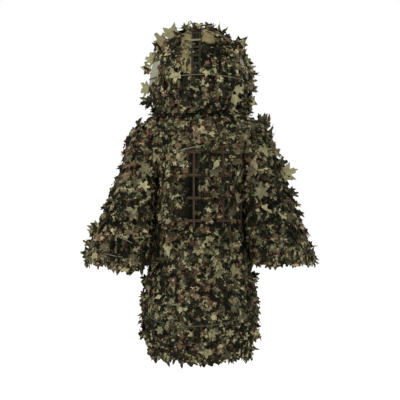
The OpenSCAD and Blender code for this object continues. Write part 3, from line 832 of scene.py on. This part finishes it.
def spread(rng, surface, u_range, v_range, spacing):
    """Angles and heights about one spacing apart over a stretch of a surface."""
    us, vs = [], []
    low, high = v_range
    probes = np.linspace(low, high, 60)
    track = surface(np.full(60, sum(u_range) / 2), probes)
    lengths = np.concatenate([[0], np.cumsum(np.linalg.norm(np.diff(track, axis=0), axis=1))])
    rows = max(1, round(lengths[-1] / spacing))
    for row in range(rows):
        v = np.interp((row + 0.5) / rows * lengths[-1], lengths, probes)
        ring = surface(np.linspace(*u_range, 40), np.full(40, v))
        arc = np.linalg.norm(np.diff(ring, axis=0), axis=1).sum()
        count = max(1, round(arc / spacing))
        shift = rng.random()
        for column in range(count):
            share = ((column + shift) / count + rng.normal(0, 0.3) / count) % 1
            us.append(u_range[0] + share * (u_range[1] - u_range[0]))
            vs.append(np.clip(v + rng.normal(0, 0.3) * (high - low) / rows, low, high))
    return np.array(us), np.array(vs)



# ---------------------------------------------------------------- materials in use

make_camera()
make_studio()
LEAF = leaf_material()
GROUND = ground_material()
SHEER = sheer_material()
TAPE = tape_material("ladder_tape", srgb(82, 66, 53), srgb(40, 32, 26))
BINDING = tape_material("binding", srgb(74, 68, 44), srgb(34, 33, 22))
PALE_TAPE = tape_material("pale_tape", srgb(150, 144, 118), srgb(104, 98, 76))
PALE_CORD = cord_material("cord", srgb(128, 125, 106), srgb(84, 82, 68))
OLIVE_CORD = cord_material("olive_cord", srgb(88, 90, 72), srgb(52, 54, 42))
DARK_CORD = cord_material("dark_cord", srgb(52, 50, 40), srgb(26, 26, 20))
SEWING_THREAD = cord_material("sewing_thread", srgb(118, 110, 80), srgb(66, 62, 44))
METAL = metal_material()
COIL = coil_material()

# ---------------------------------------------------------------- places on the suit

# Stretches seen from behind, as least and most X, then least and most Z
# The grooves, sleeve gaps and hood strip are darkened with painted shade
GROOVE = (0.004, 0.042, -0.43, -0.145)
SLIM_GROOVES = [(-0.172, -0.16, -0.55, -0.3), (-0.096, -0.085, -0.52, -0.36), (0.148, 0.158, -0.56, -0.43)]
LEFT_SLEEVE_GAP = (0.262, 0.338, -0.522, -0.484)
RIGHT_SLEEVE_GAP = (-0.272, -0.232, -0.38, -0.35)
HOOD_STRIP = (-0.004, 0.029, 0.155, 0.295)
HOOD_TAN_PANEL = (0.031, 0.069, 0.142, 0.293)
HOOD_SLIT_PANEL = (-0.069, -0.006, 0.25, 0.312)
# How much of the cloth's colour painted shade leaves in the grooves, gaps and hood strip
PAINTED_SHADE_GAIN = 0.35

FRONT_EDGE = 177
# A window of the hood: its angles from the middle of the back, and its height shares
WINDOW_BACK, WINDOW_FRONT = 52, 116
WINDOW_LOW, WINDOW_HIGH = 0.22, 0.57
# Degrees that a sleeve's cloth runs on past its reach towards the body, above the underarm
SLEEVE_TUCK = 10


def in_zone(place, zone, margin=0.0):
    x, y, z = place[..., 0], place[..., 1], place[..., 2]
    return (
        (x > zone[0] - margin) & (x < zone[1] + margin) & (z > zone[2] - margin) & (z < zone[3] + margin)
        & (y > 0))


def painted_shade_in(surface, zones):
    """Shades for a cloth: painted shade darkens it in the zones, and it is nowhere tan."""
    def shades(u, v):
        place = surface(u, v)
        dark = np.any([in_zone(place, zone) for zone in zones], 0)
        return np.where(dark, PAINTED_SHADE_GAIN, 1.0), 0 * u
    return shades


def in_armhole(u, v):
    return np.abs(np.abs(u) - 90) < 90 - armhole_angle(v) - 0.5


def ride(body_name):
    return lambda piece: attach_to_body(piece, body_name)


ride_torso = ride("torso")


def ride_hood(piece):
    """Hood pieces ride the hood, each with a mesh of its own."""
    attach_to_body(piece, "hood")
    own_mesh(piece)


def blend_sleeve():
    def attach(piece):
        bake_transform(piece)
    return attach


def place_piece(piece, attach, slot, *nodes):
    attach(piece)
    if nodes:
        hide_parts(*nodes)
    return piece


# ---------------------------------------------------------------- cords

CORD_DIAMETER = 0.0036
CORD_LIFT = 0.012
SEWN_LIFT = 0.001
# The slack cord's route across the lower back, as in the CAD model
LOWER_CORD_ROUTE = np.array([
    [203, 64, -766], [195, 80, -775], [180, 99, -785], [158, 121, -793], [134, 137, -799],
    [106, 151, -803], [78, 161, -805], [50, 168, -806], [20, 172, -806], [-10, 172, -805],
    [-40, 169, -803], [-70, 163, -799], [-98, 153, -795], [-126, 139, -789], [-151, 123, -781],
    [-173, 103, -772], [-191, 81, -762], [-202, 65, -754],
]) / 1000
lower_cord = round_line("lower_back_cord_braid", smooth_path(LOWER_CORD_ROUTE, 4), CORD_DIAMETER, OLIVE_CORD)
place_piece(lower_cord, ride_torso, "cord", "lower_back_cord")


TUBE_SIDES = 10
# No cord runs this way, so it gives every cord a way across
UNUSED_DIRECTION = np.array([0.31, 0.17, 0.94])


def tube(name, paths, diameter, material):
    """Round cords along paths, in one mesh with closed ends."""
    points, faces = [], []
    for path in paths:
        path = np.asarray(path)
        along = np.gradient(path, axis=0)
        along /= np.linalg.norm(along, axis=1, keepdims=True)
        across = np.cross(along, UNUSED_DIRECTION)
        across /= np.linalg.norm(across, axis=1, keepdims=True)
        other = np.cross(along, across)
        turns = np.linspace(0, 2 * math.pi, TUBE_SIDES, endpoint=False)[:, None, None]
        offsets = across * np.cos(turns) + other * np.sin(turns)
        add_bar(points, faces, np.swapaxes(path + offsets * diameter / 2, 0, 1))
    return new_mesh(name, points, faces, material)


def laid_path(surface, start, end, sag=0.0, high=CORD_LIFT, parts=24):
    """A cord's path from one sewn end to the other, each at an angle and a height."""
    t = np.linspace(0, 1, parts)
    us = start[0] + (end[0] - start[0]) * t
    vs = start[1] + (end[1] - start[1]) * t - sag * 4 * t * (1 - t)
    place, normal, _ = surface.frame(us, vs)
    rise = SEWN_LIFT + (high - SEWN_LIFT) * np.sqrt(np.clip(np.sin(np.pi * t), 0, 1))
    return place + normal * rise[:, None]


# Short cords sewn to the back at both ends, from (x, z) to (x, z), as in the CAD model
CRAFT_CORDS = {
    "pale": (PALE_CORD, [((-0.02, -0.134), (0.086, -0.156))]),
    "dark": (DARK_CORD, [((0.019, -0.604), (0.085, -0.618)), ((-0.19, -0.893), (-0.1, -0.893))]),
    "brown": (TAPE, [((0.079, -0.123), (0.096, -0.062)), ((-0.022, -0.88), (0.073, -0.878)),
                     ((0.144, -0.857), (0.179, -0.835))]),
}
for name, (material, runs) in CRAFT_CORDS.items():
    paths = [
        laid_path(body, (back_angle(*first), first[1]), (back_angle(*last), last[1])) for first, last in runs]
    piece = tube(f"craft_cords_{name}", paths, CORD_DIAMETER, material)
    place_piece(piece, ride_torso, "cord", *(["craft_cords"] if name == "pale" else []))

ARC_X = np.linspace(0.096, -0.15, 40)
ARC_H = 0.368 - 2.0 * (ARC_X + 0.01) ** 2
arc_path = hood.lifted(hood_angle(ARC_X, ARC_H), ARC_H, 0.011)
place_piece(tube("hood_arc_cord", [arc_path], 0.0026, PALE_CORD), ride_hood, "cord", "hood_cord")
window_path = laid_path(hood, (50, 0.36), (86, 0.36), sag=0.01, high=0.005)
place_piece(tube("window_cord", [window_path], CORD_DIAMETER, DARK_CORD), ride_hood, "cord")
sleeve_paths = [
    laid_path(left_sleeve, (77, -0.466), (113, -0.502)), laid_path(left_sleeve, (62, -0.54), (100, -0.554))]
place_piece(
    tube("left_sleeve_cords", sleeve_paths, CORD_DIAMETER, PALE_CORD), ride("left_sleeve"), "cord",
    "left_sleeve_cord")

# ---------------------------------------------------------------- cloth panels

# Painted shade darkens the body cloth in its grooves
body_cloth = cloth_sheet(
    "body_cloth", body, lambda v: (-FRONT_EDGE, FRONT_EDGE),
    np.concatenate([np.linspace(HEM_Z, -0.3, 50), np.linspace(-0.29, 0.012, 38)]), 190, GROUND,
    lift=CLOTH / 2, skip=in_armhole, shades=painted_shade_in(body, [GROOVE, *SLIM_GROOVES]))
place_piece(
    body_cloth, ride_torso, "leaf_mesh", "back_yoke", "back_center", "back_skirt", "left_shoulder",
    "right_shoulder", "left_back_side", "right_back_side", "left_front_side", "right_front_side",
    "left_front", "right_front", "left_skirt", "right_skirt", "left_front_skirt", "right_front_skirt")


def sleeve_angles(v):
    reach = float(sleeve_reach(v))
    reach = 179.9 if reach > 179 else reach + SLEEVE_TUCK
    return (-reach, reach)


SLEEVES = [
    (1, "left", left_sleeve, LEFT_SLEEVE_GAP), (-1, "right", right_sleeve, RIGHT_SLEEVE_GAP)]
SIDES = [(side, label) for side, label, _, _ in SLEEVES]
for side, label, surface, gap in SLEEVES:
    # Painted shade darkens each sleeve's cloth in its gap
    cloth = cloth_sheet(
        f"{label}_sleeve_cloth", surface, sleeve_angles,
        np.concatenate([np.linspace(CUFF_Z, -0.26, 28), np.linspace(-0.25, -0.047, 26)]), 84, GROUND,
        lift=CLOTH / 2, shades=painted_shade_in(surface, [gap]))
    place_piece(
        cloth, blend_sleeve(), "leaf_mesh", f"{label}_sleeve_outer", f"{label}_sleeve_back",
        f"{label}_sleeve_front", f"{label}_sleeve_inner")


# The hood's height share where its chin edges part, and their angle below that
CHIN_LINE = 0.02
CHIN_EDGE = 174


def outside_hood(u, v):
    angle = np.abs((u + 180) % 360 - 180)
    in_face = (angle > 180 - face_angle(v)) & (v > CHIN_LINE)
    in_window = (angle >= WINDOW_BACK) & (angle <= WINDOW_FRONT) & (v >= WINDOW_LOW) & (v <= WINDOW_HIGH)
    return in_face | in_window | ((angle > CHIN_EDGE) & (v <= CHIN_LINE))


def hood_shades(u, v):
    place = hood(u, v)
    tan = in_zone(place, HOOD_TAN_PANEL) | in_zone(place, HOOD_SLIT_PANEL)
    # Painted shade darkens the hood strip; the tan panels are the cloth's own colour
    return np.where(in_zone(place, HOOD_STRIP), PAINTED_SHADE_GAIN, 1.0), tan.astype(float)


hood_rows = np.concatenate([np.linspace(HOOD_EDGE, 0.97, 78), [0.985, 0.996]])
hood_cloth = cloth_sheet(
    "hood_cloth", hood, lambda v: (-180, 180), hood_rows, 200, GROUND, lift=CLOTH / 2, closed=True,
    skip=outside_hood, shades=hood_shades)
place_piece(
    hood_cloth, ride_hood, "leaf_mesh", "hood_back", "left_hood_lower", "right_hood_lower", "left_cheek",
    "right_cheek", "left_chin", "right_chin", "hood_brow", "hood_crown")
NETTING = 0.0005
NETTING_LIFT = 0.0004
for side, label in SIDES:
    netting = cloth_sheet(
        f"{label}_window_netting", hood,
        lambda v, side=side: (side * (WINDOW_BACK - 2), side * (WINDOW_FRONT + 2)),
        np.linspace(WINDOW_LOW - 0.02, WINDOW_HIGH + 0.02, 22), 48, SHEER, lift=NETTING_LIFT,
        thickness=NETTING)
    place_piece(netting, ride_hood, "sheer_mesh", f"{label}_hood_window")

# ---------------------------------------------------------------- tapes and stitching

TAPE_THICKNESS = 0.0011
TAPE_LIFT = 0.004
RUNG_LIFT = 0.006
STITCH_INSET = 0.0016


def run(surface, us, vs, lift, width):
    """A tape's middle line on a surface: its points, outward normals and width."""
    place, normal, _ = surface.frame(*np.broadcast_arrays(us, vs))
    return place + normal * lift, normal, width


def tape_side(path, normal):
    along = np.gradient(path, axis=0)
    side = np.cross(along, normal)
    return side / np.linalg.norm(side, axis=1, keepdims=True)


def sewn_tapes(name, runs, material, attach, nodes=(), thickness=TAPE_THICKNESS, inset=STITCH_INSET,
               slot="binding"):
    """Flat tapes with thick edges, and a row of stitches down each side of every one."""
    points, faces, rows = [], [], []
    for path, normal, width in runs:
        side = tape_side(path, normal)
        first = len(points)
        for share in (-0.5, -0.44, 0, 0.44, 0.5):
            selvedge = 0.0002 * (abs(share) > 0.4)
            points.extend(path + side * share * width + normal * selvedge)
        for face in grid_faces(5, len(path)):
            faces.append(tuple(first + c for c in face))
        for edge in (-1, 1):
            shift = side * edge * (width / 2 - inset)
            rows.append((path + shift + normal * (thickness / 2 + 0.0003), normal))
    tape = new_mesh(name, points, faces, material)
    thicken(tape, thickness)
    place_piece(tape, attach, slot, *nodes)
    place_piece(stitches(f"{name}_stitching", rows, SEWING_THREAD), attach, slot)
    return tape


def level(surface, first, last, v, lift, width, parts=150):
    return run(surface, np.linspace(first, last, parts), v, lift, width)


def forwards(count):
    """Normals for a tape that faces straight forwards."""
    return np.tile([0.0, -1.0, 0.0], (count, 1))


HEM_BAND = 0.024
sewn_tapes(
    "hem_tape", [level(body, -FRONT_EDGE, FRONT_EDGE, HEM_Z + 0.013, TAPE_LIFT, HEM_BAND, 240)], BINDING,
    ride_torso, ["hem_band"])
sewn_tapes(
    "neck_tape", [level(body, -FRONT_EDGE, FRONT_EDGE, -0.016, -0.003, 0.014, 200)], BINDING, ride_torso,
    ["neck_band"])
for side, label, surface, gap in SLEEVES:
    sewn_tapes(
        f"{label}_cuff_tape", [level(surface, -179, 179, CUFF_Z + 0.013, TAPE_LIFT, HEM_BAND, 120)], BINDING,
        ride(f"{label}_sleeve"), [f"{label}_cuff"])

SEAM_TAPE = 0.01
SEAM_LIFT = 0.0022
seam_heights = np.linspace(HEM_Z + 0.03, -0.56, 60)
upper_heights = np.linspace(-0.55, -0.16, 60)
seams = [run(body, angle, seam_heights, SEAM_LIFT, SEAM_TAPE) for angle in (-140, -90, 90, 140)]
seams += [run(body, angle, upper_heights, SEAM_LIFT, SEAM_TAPE) for angle in (-140, -40, 40, 140)]
seams += [
    level(body, -reach, reach, z, SEAM_LIFT, SEAM_TAPE) for reach, z in ((55, -0.151), (175, -0.561))]
sewn_tapes("body_seam_tapes", seams, BINDING, ride_torso)

LADDER_LINES = (0.14, 0.022, -0.086, -0.15)
LADDER_TOP = -0.135
LADDER_BOTTOM = -0.44
LADDER_TAPE = 0.008
RUNG_HALF_LENGTH = 0.026
RUNG_HEIGHT = 0.01
RUNG_PITCH = 0.085
ladder_heights = np.linspace(LADDER_BOTTOM, LADDER_TOP, 80)
sewn_tapes(
    "ladder_tapes",
    [run(body, back_angle(x, ladder_heights), ladder_heights, TAPE_LIFT, LADDER_TAPE) for x in LADDER_LINES],
    TAPE, ride_torso, ["back_ladder_tapes"], slot="ladder_tape")
rungs = []
for x in LADDER_LINES[1:3]:
    for number in range(4):
        z = LADDER_TOP - 0.02 - RUNG_PITCH * number - RUNG_HEIGHT / 2
        xs = np.linspace(x - RUNG_HALF_LENGTH, x + RUNG_HALF_LENGTH, 24)
        rungs.append(run(body, back_angle(xs, z), z, RUNG_LIFT, RUNG_HEIGHT))
sewn_tapes("ladder_rungs", rungs, TAPE, ride_torso, ["back_ladder_rungs"], slot="ladder_tape")

HOOD_LADDER_X = 0.014
HOOD_LADDER_SIDE = 0.013
hood_shares = np.linspace(0.44, 0.85, 60)
sewn_tapes(
    "hood_ladder_tapes",
    [run(hood, hood_angle(HOOD_LADDER_X + side * HOOD_LADDER_SIDE, hood_shares), hood_shares, TAPE_LIFT,
         LADDER_TAPE) for side in (-1, 1)],
    DARK_CORD, ride_hood, ["hood_ladder"], slot="ladder_tape")
hood_rung_xs = np.linspace(HOOD_LADDER_X - 0.017, HOOD_LADDER_X + 0.017, 16)
hood_rungs = [
    run(hood, hood_angle(hood_rung_xs, share), share, RUNG_LIFT, RUNG_HEIGHT)
    for share in (0.475, 0.565, 0.655, 0.745, 0.835)]
sewn_tapes("hood_ladder_rungs", hood_rungs[:3] + hood_rungs[4:], DARK_CORD, ride_hood, slot="ladder_tape")
sewn_tapes("hood_ladder_pale_rung", hood_rungs[3:4], PALE_TAPE, ride_hood, slot="ladder_tape")
WINDOW_TAPE = 0.009
WINDOW_TAPE_LIFT = 0.002
for side, label in SIDES:
    shares = np.linspace(WINDOW_LOW - 0.01, WINDOW_HIGH + 0.01, 40)
    binding = [
        run(hood, side * angle, shares, WINDOW_TAPE_LIFT, WINDOW_TAPE)
        for angle in (WINDOW_BACK, WINDOW_FRONT)]
    binding += [
        level(hood, side * WINDOW_BACK, side * WINDOW_FRONT, share, WINDOW_TAPE_LIFT, WINDOW_TAPE, 50)
        for share in (WINDOW_LOW, WINDOW_HIGH)]
    sewn_tapes(f"{label}_window_binding", binding, DARK_CORD, ride_hood)

anchors = []
for place in (LOWER_CORD_ROUTE[0], LOWER_CORD_ROUTE[-1]):
    x, y, z = place
    angle = math.degrees(math.atan2(x / body_half_width(z), y / body_back_depth(z)))
    anchors.append(level(body, angle - 3, angle + 3, z, TAPE_LIFT, 0.018, 12))
sewn_tapes("cord_anchor_patches", anchors, BINDING, ride_torso, ["cord_anchors"])

LOOP_HALF_WIDTH = 0.0215
LOOP_HALF_DROP = 0.0085
LOOP_CORNER = 0.005
LOOP_Y = NECK_HALF_DEPTH - 0.0053
LOOP_Z = -0.03
corner = np.radians(np.linspace(0, 90, 8))
loop_path = []
for turn, x, z in ((0, 1, 1), (90, -1, 1), (180, -1, -1), (270, 1, -1)):
    angles = corner + math.radians(turn)
    loop_path.append(np.stack([
        x * (LOOP_HALF_WIDTH - LOOP_CORNER) + LOOP_CORNER * np.cos(angles), 0 * angles + LOOP_Y,
        LOOP_Z + z * (LOOP_HALF_DROP - LOOP_CORNER) + LOOP_CORNER * np.sin(angles)], 1))
loop_path = np.concatenate(loop_path + [loop_path[0][:1]])
sewn_tapes(
    "hanger_tape_loop", [(loop_path, forwards(len(loop_path)), 0.003)], BINDING, ride_torso,
    ["hanger_loop"], thickness=0.0014, inset=0.0008)

# ---------------------------------------------------------------- front zip

ZIP_TOP = -0.058
ZIP_LENGTH = 0.48
ZIP_FACE = -0.135
ZIP_TAPE = 0.0008
ZIP_TAPE_WIDTH = 0.014
ZIP_TAPE_INSET = 0.0015
TOOTH_PITCH = 0.0024
TOOTH_LIFT = 0.0009
# A tooth from its root in the tape to its hook: distance across, half height, and least and most rise
TOOTH_SECTIONS = (
    (0.0032, 0.0003, 0.0003, 0.0017), (0.0028, 0.0007, 0, 0.002), (0.0004, 0.0007, 0, 0.002),
    (-0.0004, 0.0011, 0.0002, 0.0018), (-0.0009, 0.0004, 0.0005, 0.0014))
ZIP_PARTS = 60
zip_heights = np.linspace(ZIP_TOP, ZIP_TOP - ZIP_LENGTH, ZIP_PARTS)
for side, label in SIDES:
    middle_x = side * (ZIP_TAPE_INSET + ZIP_TAPE_WIDTH / 2)
    middle = np.stack(np.broadcast_arrays(middle_x, ZIP_FACE - ZIP_TAPE / 2, zip_heights), 1)
    sewn_tapes(
        f"{label}_zip_tape_cloth", [(middle, forwards(ZIP_PARTS), ZIP_TAPE_WIDTH)], BINDING, ride_torso,
        [f"{label}_zip_tape"], thickness=ZIP_TAPE, inset=0.003)

tooth_points, tooth_faces = [], []
for number, z in enumerate(np.arange(ZIP_TOP - TOOTH_PITCH, ZIP_TOP - ZIP_LENGTH, -TOOTH_PITCH / 2)):
    side = 1 if number % 2 else -1
    add_bar(tooth_points, tooth_faces, [
        [(side * x, ZIP_FACE - TOOTH_LIFT - y, z + way * half_height)
         for y, way in ((low, -1), (high, -1), (high, 1), (low, 1))]
        for x, half_height, low, high in TOOTH_SECTIONS], turned=side < 0)
teeth = new_mesh("zip_teeth", tooth_points, tooth_faces, COIL)
teeth.data.shade_flat()
place_piece(teeth, ride_torso, "zip_coil", "zip_coil")

BEVEL = 0.0005
for node, body_name in (("zip_stops", "torso"), ("zip_slider", "slider"), ("zip_pull", "pull")):
    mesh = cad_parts[node].data.copy()
    mesh.materials.clear()
    mesh.materials.append(METAL)
    piece = link(f"{node}_metal", mesh)
    weld = piece.modifiers.new("weld", "WELD")
    weld.merge_threshold = 0.00001
    bevel = piece.modifiers.new("rounded_edges", "BEVEL")
    bevel.width = BEVEL
    bevel.segments = 2
    bevel.limit_method = "ANGLE"
    place_piece(piece, ride(body_name), "zip_metal", node)

# ---------------------------------------------------------------- leaves

FLAP_SPACING = 0.027
FLAP_SIZE = (0.026, 0.04)
FREE_SPACING = 0.038
FREE_SIZE = (0.034, 0.055)
LOW_SIZE = (0.028, 0.04)
GAP_SIZE = (0.026, 0.036)
HEM_SIZE = (0.04, 0.062)
CUFF_SIZE = (0.034, 0.05)
FLAP_LIFT = 0.0022
FREE_LIFT = 0.003
EDGE_LIFT = 0.0045
BARE_MARGIN = 0.012
ZIP_CLEARANCE_ANGLE = 170
ZIP_CLEARANCE_TOP = -0.03
OUTLINE_ANGLE = 34
INNER_ANGLE = 125
# Tones of pinned leaves: one that shows its plain side, and a printed one
PALE = 0.99
DARK = 0.2


def cover(bed, surface, u_range, v_range, keep, calm, outline):
    """Flat flaps with freer leaves over them. keep, calm and outline are tests of the angles and heights:
    where leaves grow, where they lie close, and where some turn to show their faces past the outline."""
    us, vs = spread(bed.rng, surface, u_range, v_range, FLAP_SPACING)
    here = keep(us, vs)
    bed.sow(surface, us[here], vs[here], FLAP_LIFT, (8, 6), (0, 35), FLAP_SIZE, printed_as_laid=0.75)
    us, vs = spread(bed.rng, surface, u_range, v_range, FREE_SPACING)
    here = keep(us, vs)
    us, vs = us[here], vs[here]
    low = calm(us, vs)
    turned = outline(us, vs) & (bed.rng.random(len(us)) < 0.5) & ~low
    free = ~low & ~turned
    bed.sow(surface, us[low], vs[low], FREE_LIFT, (11, 5), (0, 50), LOW_SIZE)
    bed.sow(surface, us[free], vs[free], FREE_LIFT, (27, 15), (0, 60), FREE_SIZE)
    for way in (-90, 90):
        chosen = turned & ((us > 0) == (way > 0))
        bed.sow(surface, us[chosen], vs[chosen], FREE_LIFT, (48, 16), (way, 35), FREE_SIZE)


def pin_leaves(bed, surface, angle_at, share_at, leaves):
    """Leaves seen at set places from behind: each is (x, z, tilt, spin, length, tone)."""
    bed.pin(surface, [
        (float(angle_at(x, share_at(z))), float(share_at(z)), tilt, spin, length, tone)
        for x, z, tilt, spin, length, tone in leaves])


def same(value):
    return value


def sow_body():
    bed = LeafBed(11)

    def keep(us, vs):
        near_zip = (np.abs(us) > ZIP_CLEARANCE_ANGLE) & (vs < ZIP_CLEARANCE_TOP)
        place = body(us, vs)
        bare = [in_zone(place, GROOVE, 0.011)] + [in_zone(place, zone, BARE_MARGIN) for zone in SLIM_GROOVES]
        return ~near_zip & ~np.any(bare, 0) & ~in_armhole(us, vs)

    def calm(us, vs):
        angle = np.abs(us)
        beside_arm = (np.abs(angle - 90) < 24) & (vs > -0.6)
        low_back = (angle < 58) & (vs < -0.57) & (vs > -0.9)
        return beside_arm | low_back | (angle > 112)

    def outline(us, vs):
        return (np.abs(np.abs(us) - 90) < 22) & (vs < -0.6)

    cover(bed, body, (-176, 176), (HEM_Z + 0.012, -0.012), keep, calm, outline)
    gap_vs = np.arange(-0.57, -0.27, 0.011)
    for way in (-90, 90):
        us = way + bed.rng.normal(0, 3, len(gap_vs))
        bed.sow(body, us, gap_vs, 0.001, (38, 8), (way, 20), GAP_SIZE)
    hem_us = np.arange(-172, 172, 7.5)
    hem_us = hem_us + bed.rng.normal(0, 2, len(hem_us))
    for row_z in (HEM_Z + 0.026, HEM_Z + 0.006):
        vs = row_z + bed.rng.uniform(-0.006, 0.01, len(hem_us))
        bed.sow(body, hem_us, vs, EDGE_LIFT, (9, 7), (0, 22), HEM_SIZE)
    pin_leaves(bed, body, back_angle, same, [
        (0.165, -0.167, 20, 60, 0.05, PALE), (-0.013, -0.085, 15, -20, 0.05, PALE),
        (-0.062, -0.2, 18, 25, 0.044, PALE), (-0.118, -0.4, 18, -40, 0.04, PALE),
        (-0.035, -0.482, 15, 10, 0.05, PALE), (0.12, -0.505, 12, -15, 0.074, PALE),
        (-0.13, -0.595, 20, 30, 0.056, PALE), (-0.042, -0.83, 16, -30, 0.042, PALE),
        (0.05, -0.3, 20, 50, 0.05, DARK), (-0.03, -0.36, 20, -50, 0.05, DARK)])
    return bed


def sow_sleeve(seed, surface, gap, calm, pins):
    bed = LeafBed(seed)

    def keep(us, vs):
        return (np.abs(us) < sleeve_reach(vs) + 4) & ~in_zone(surface(us, vs), gap, 0.004)

    def outline(us, vs):
        return np.abs(us) < OUTLINE_ANGLE

    cover(bed, surface, (-179, 179), (CUFF_Z + 0.012, -0.05), keep, calm, outline)
    cuff_us = np.arange(-156, 156, 9.5)
    cuff_us = cuff_us + bed.rng.normal(0, 2, len(cuff_us))
    for row_z in (CUFF_Z + 0.02, CUFF_Z + 0.004):
        vs = row_z + bed.rng.uniform(-0.006, 0.008, len(cuff_us))
        bed.sow(surface, cuff_us, vs, EDGE_LIFT, (12, 8), (0, 26), CUFF_SIZE)
    pin_leaves(bed, surface, sleeve_angle, same, pins)
    return bed


def left_calm(us, vs):
    """The left sleeve's outer side is smooth down to its lower part."""
    return (np.abs(us) < OUTLINE_ANGLE) & (vs > -0.42) | right_calm(us, vs)


def right_calm(us, vs):
    return np.abs(us) > INNER_ANGLE


left_pins = [
    (0.26, -0.056, 66, 170, 0.056, 0.5), (0.203, -0.09, 15, 20, 0.056, PALE),
    (0.202, -0.215, 16, -10, 0.074, PALE), (0.261, -0.565, 15, 15, 0.044, PALE),
    (0.2, -0.583, 10, 5, 0.062, DARK), (0.225, -0.586, 8, -8, 0.062, 0.5), (0.25, -0.585, 10, 12, 0.06, 0.7),
    (0.278, -0.586, 8, -5, 0.062, 0.4), (0.305, -0.584, 9, 8, 0.06, 0.6), (0.328, -0.58, 9, -14, 0.054, 0.3)]
right_pins = [
    (-0.236, -0.14, 20, -30, 0.066, PALE), (-0.304, -0.2, 50, 80, 0.055, PALE),
    (-0.306, -0.245, 66, 95, 0.08, PALE), (-0.233, -0.3, 16, 10, 0.066, PALE),
    (-0.237, -0.372, 14, -15, 0.07, PALE), (-0.373, -0.525, 16, 30, 0.04, PALE),
    (-0.24, -0.05, 62, 185, 0.072, DARK), (-0.26, -0.058, 74, 168, 0.076, DARK),
    (-0.27, -0.066, 70, 150, 0.07, DARK), (-0.3, -0.082, 64, 160, 0.056, DARK)]


def sow_hood():
    bed = LeafBed(31)

    def keep(us, vs):
        place = hood(us, vs)
        angle = np.abs((us + 180) % 360 - 180)
        on_cloth = angle < 180 - face_angle(vs) - 2
        across = (angle - (WINDOW_BACK + WINDOW_FRONT) / 2) / (WINDOW_FRONT - WINDOW_BACK)
        along = (vs - (WINDOW_LOW + WINDOW_HIGH) / 2) / (WINDOW_HIGH - WINDOW_LOW)
        # Leaves leave an almond of the left window clear, and cover the right one
        in_window = (us > 0) & (np.abs(across) < 0.46 * (1 - (2.1 * along) ** 2))
        bare = in_zone(place, HOOD_STRIP, 0.004) | in_zone(place, HOOD_TAN_PANEL, -0.004)
        bare |= in_zone(place, HOOD_SLIT_PANEL, -0.008)
        return on_cloth & ~bare & ~in_window

    def calm(us, vs):
        return np.abs(us) > 120

    def outline(us, vs):
        return (np.abs(np.abs(us) - 90) < 30) | (vs > 0.84)

    cover(bed, hood, (-180, 180), (-0.1, 0.95), keep, calm, outline)
    pin_leaves(bed, hood, hood_angle, height_to_hood, [
        (0.1, 0.285, 48, 80, 0.08, PALE), (0.135, 0.258, 52, 95, 0.064, PALE),
        (0.08, 0.298, 52, 60, 0.06, 0.6), (0.192, 0.2, 55, 90, 0.056, PALE),
        (0.195, 0.162, 58, 100, 0.056, 0.5), (0.195, 0.095, 60, 80, 0.07, PALE),
        (0.188, 0.046, 52, 100, 0.06, 0.6), (-0.14, 0.25, 60, -100, 0.06, DARK),
        (-0.18, 0.167, 40, -80, 0.05, 0.5), (-0.18, 0.11, 40, -100, 0.05, 0.4),
        (-0.178, 0.045, 45, -80, 0.06, DARK), (0.05, 0.312, 56, 160, 0.056, PALE),
        (0.01, 0.317, 50, 185, 0.054, 0.6), (-0.035, 0.314, 52, 200, 0.05, 0.3),
        (-0.07, 0.304, 50, 190, 0.056, PALE)])
    return bed


def place_leaves(bed, name, strips, attach, *nodes):
    pieces = bed.build(name, LEAF, strips)
    for piece in pieces:
        place_piece(piece, attach, "leaf_cloth")
    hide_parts(*nodes)
    return pieces


torso_leaves = place_leaves(sow_body(), "body_leaves", 10, ride_torso, "back_leaves", "hem_leaves")
for (side, label, surface, gap), seed, calm, pins in zip(
        SLEEVES, (21, 22), (left_calm, right_calm), (left_pins, right_pins)):
    place_leaves(
        sow_sleeve(seed, surface, gap, calm, pins), f"{label}_sleeve_leaf_rows", 4,
        blend_sleeve(), f"{label}_sleeve_leaves")
hood_leaves = place_leaves(sow_hood(), "hood_leaf_gores", 6, ride_hood, "hood_leaves")
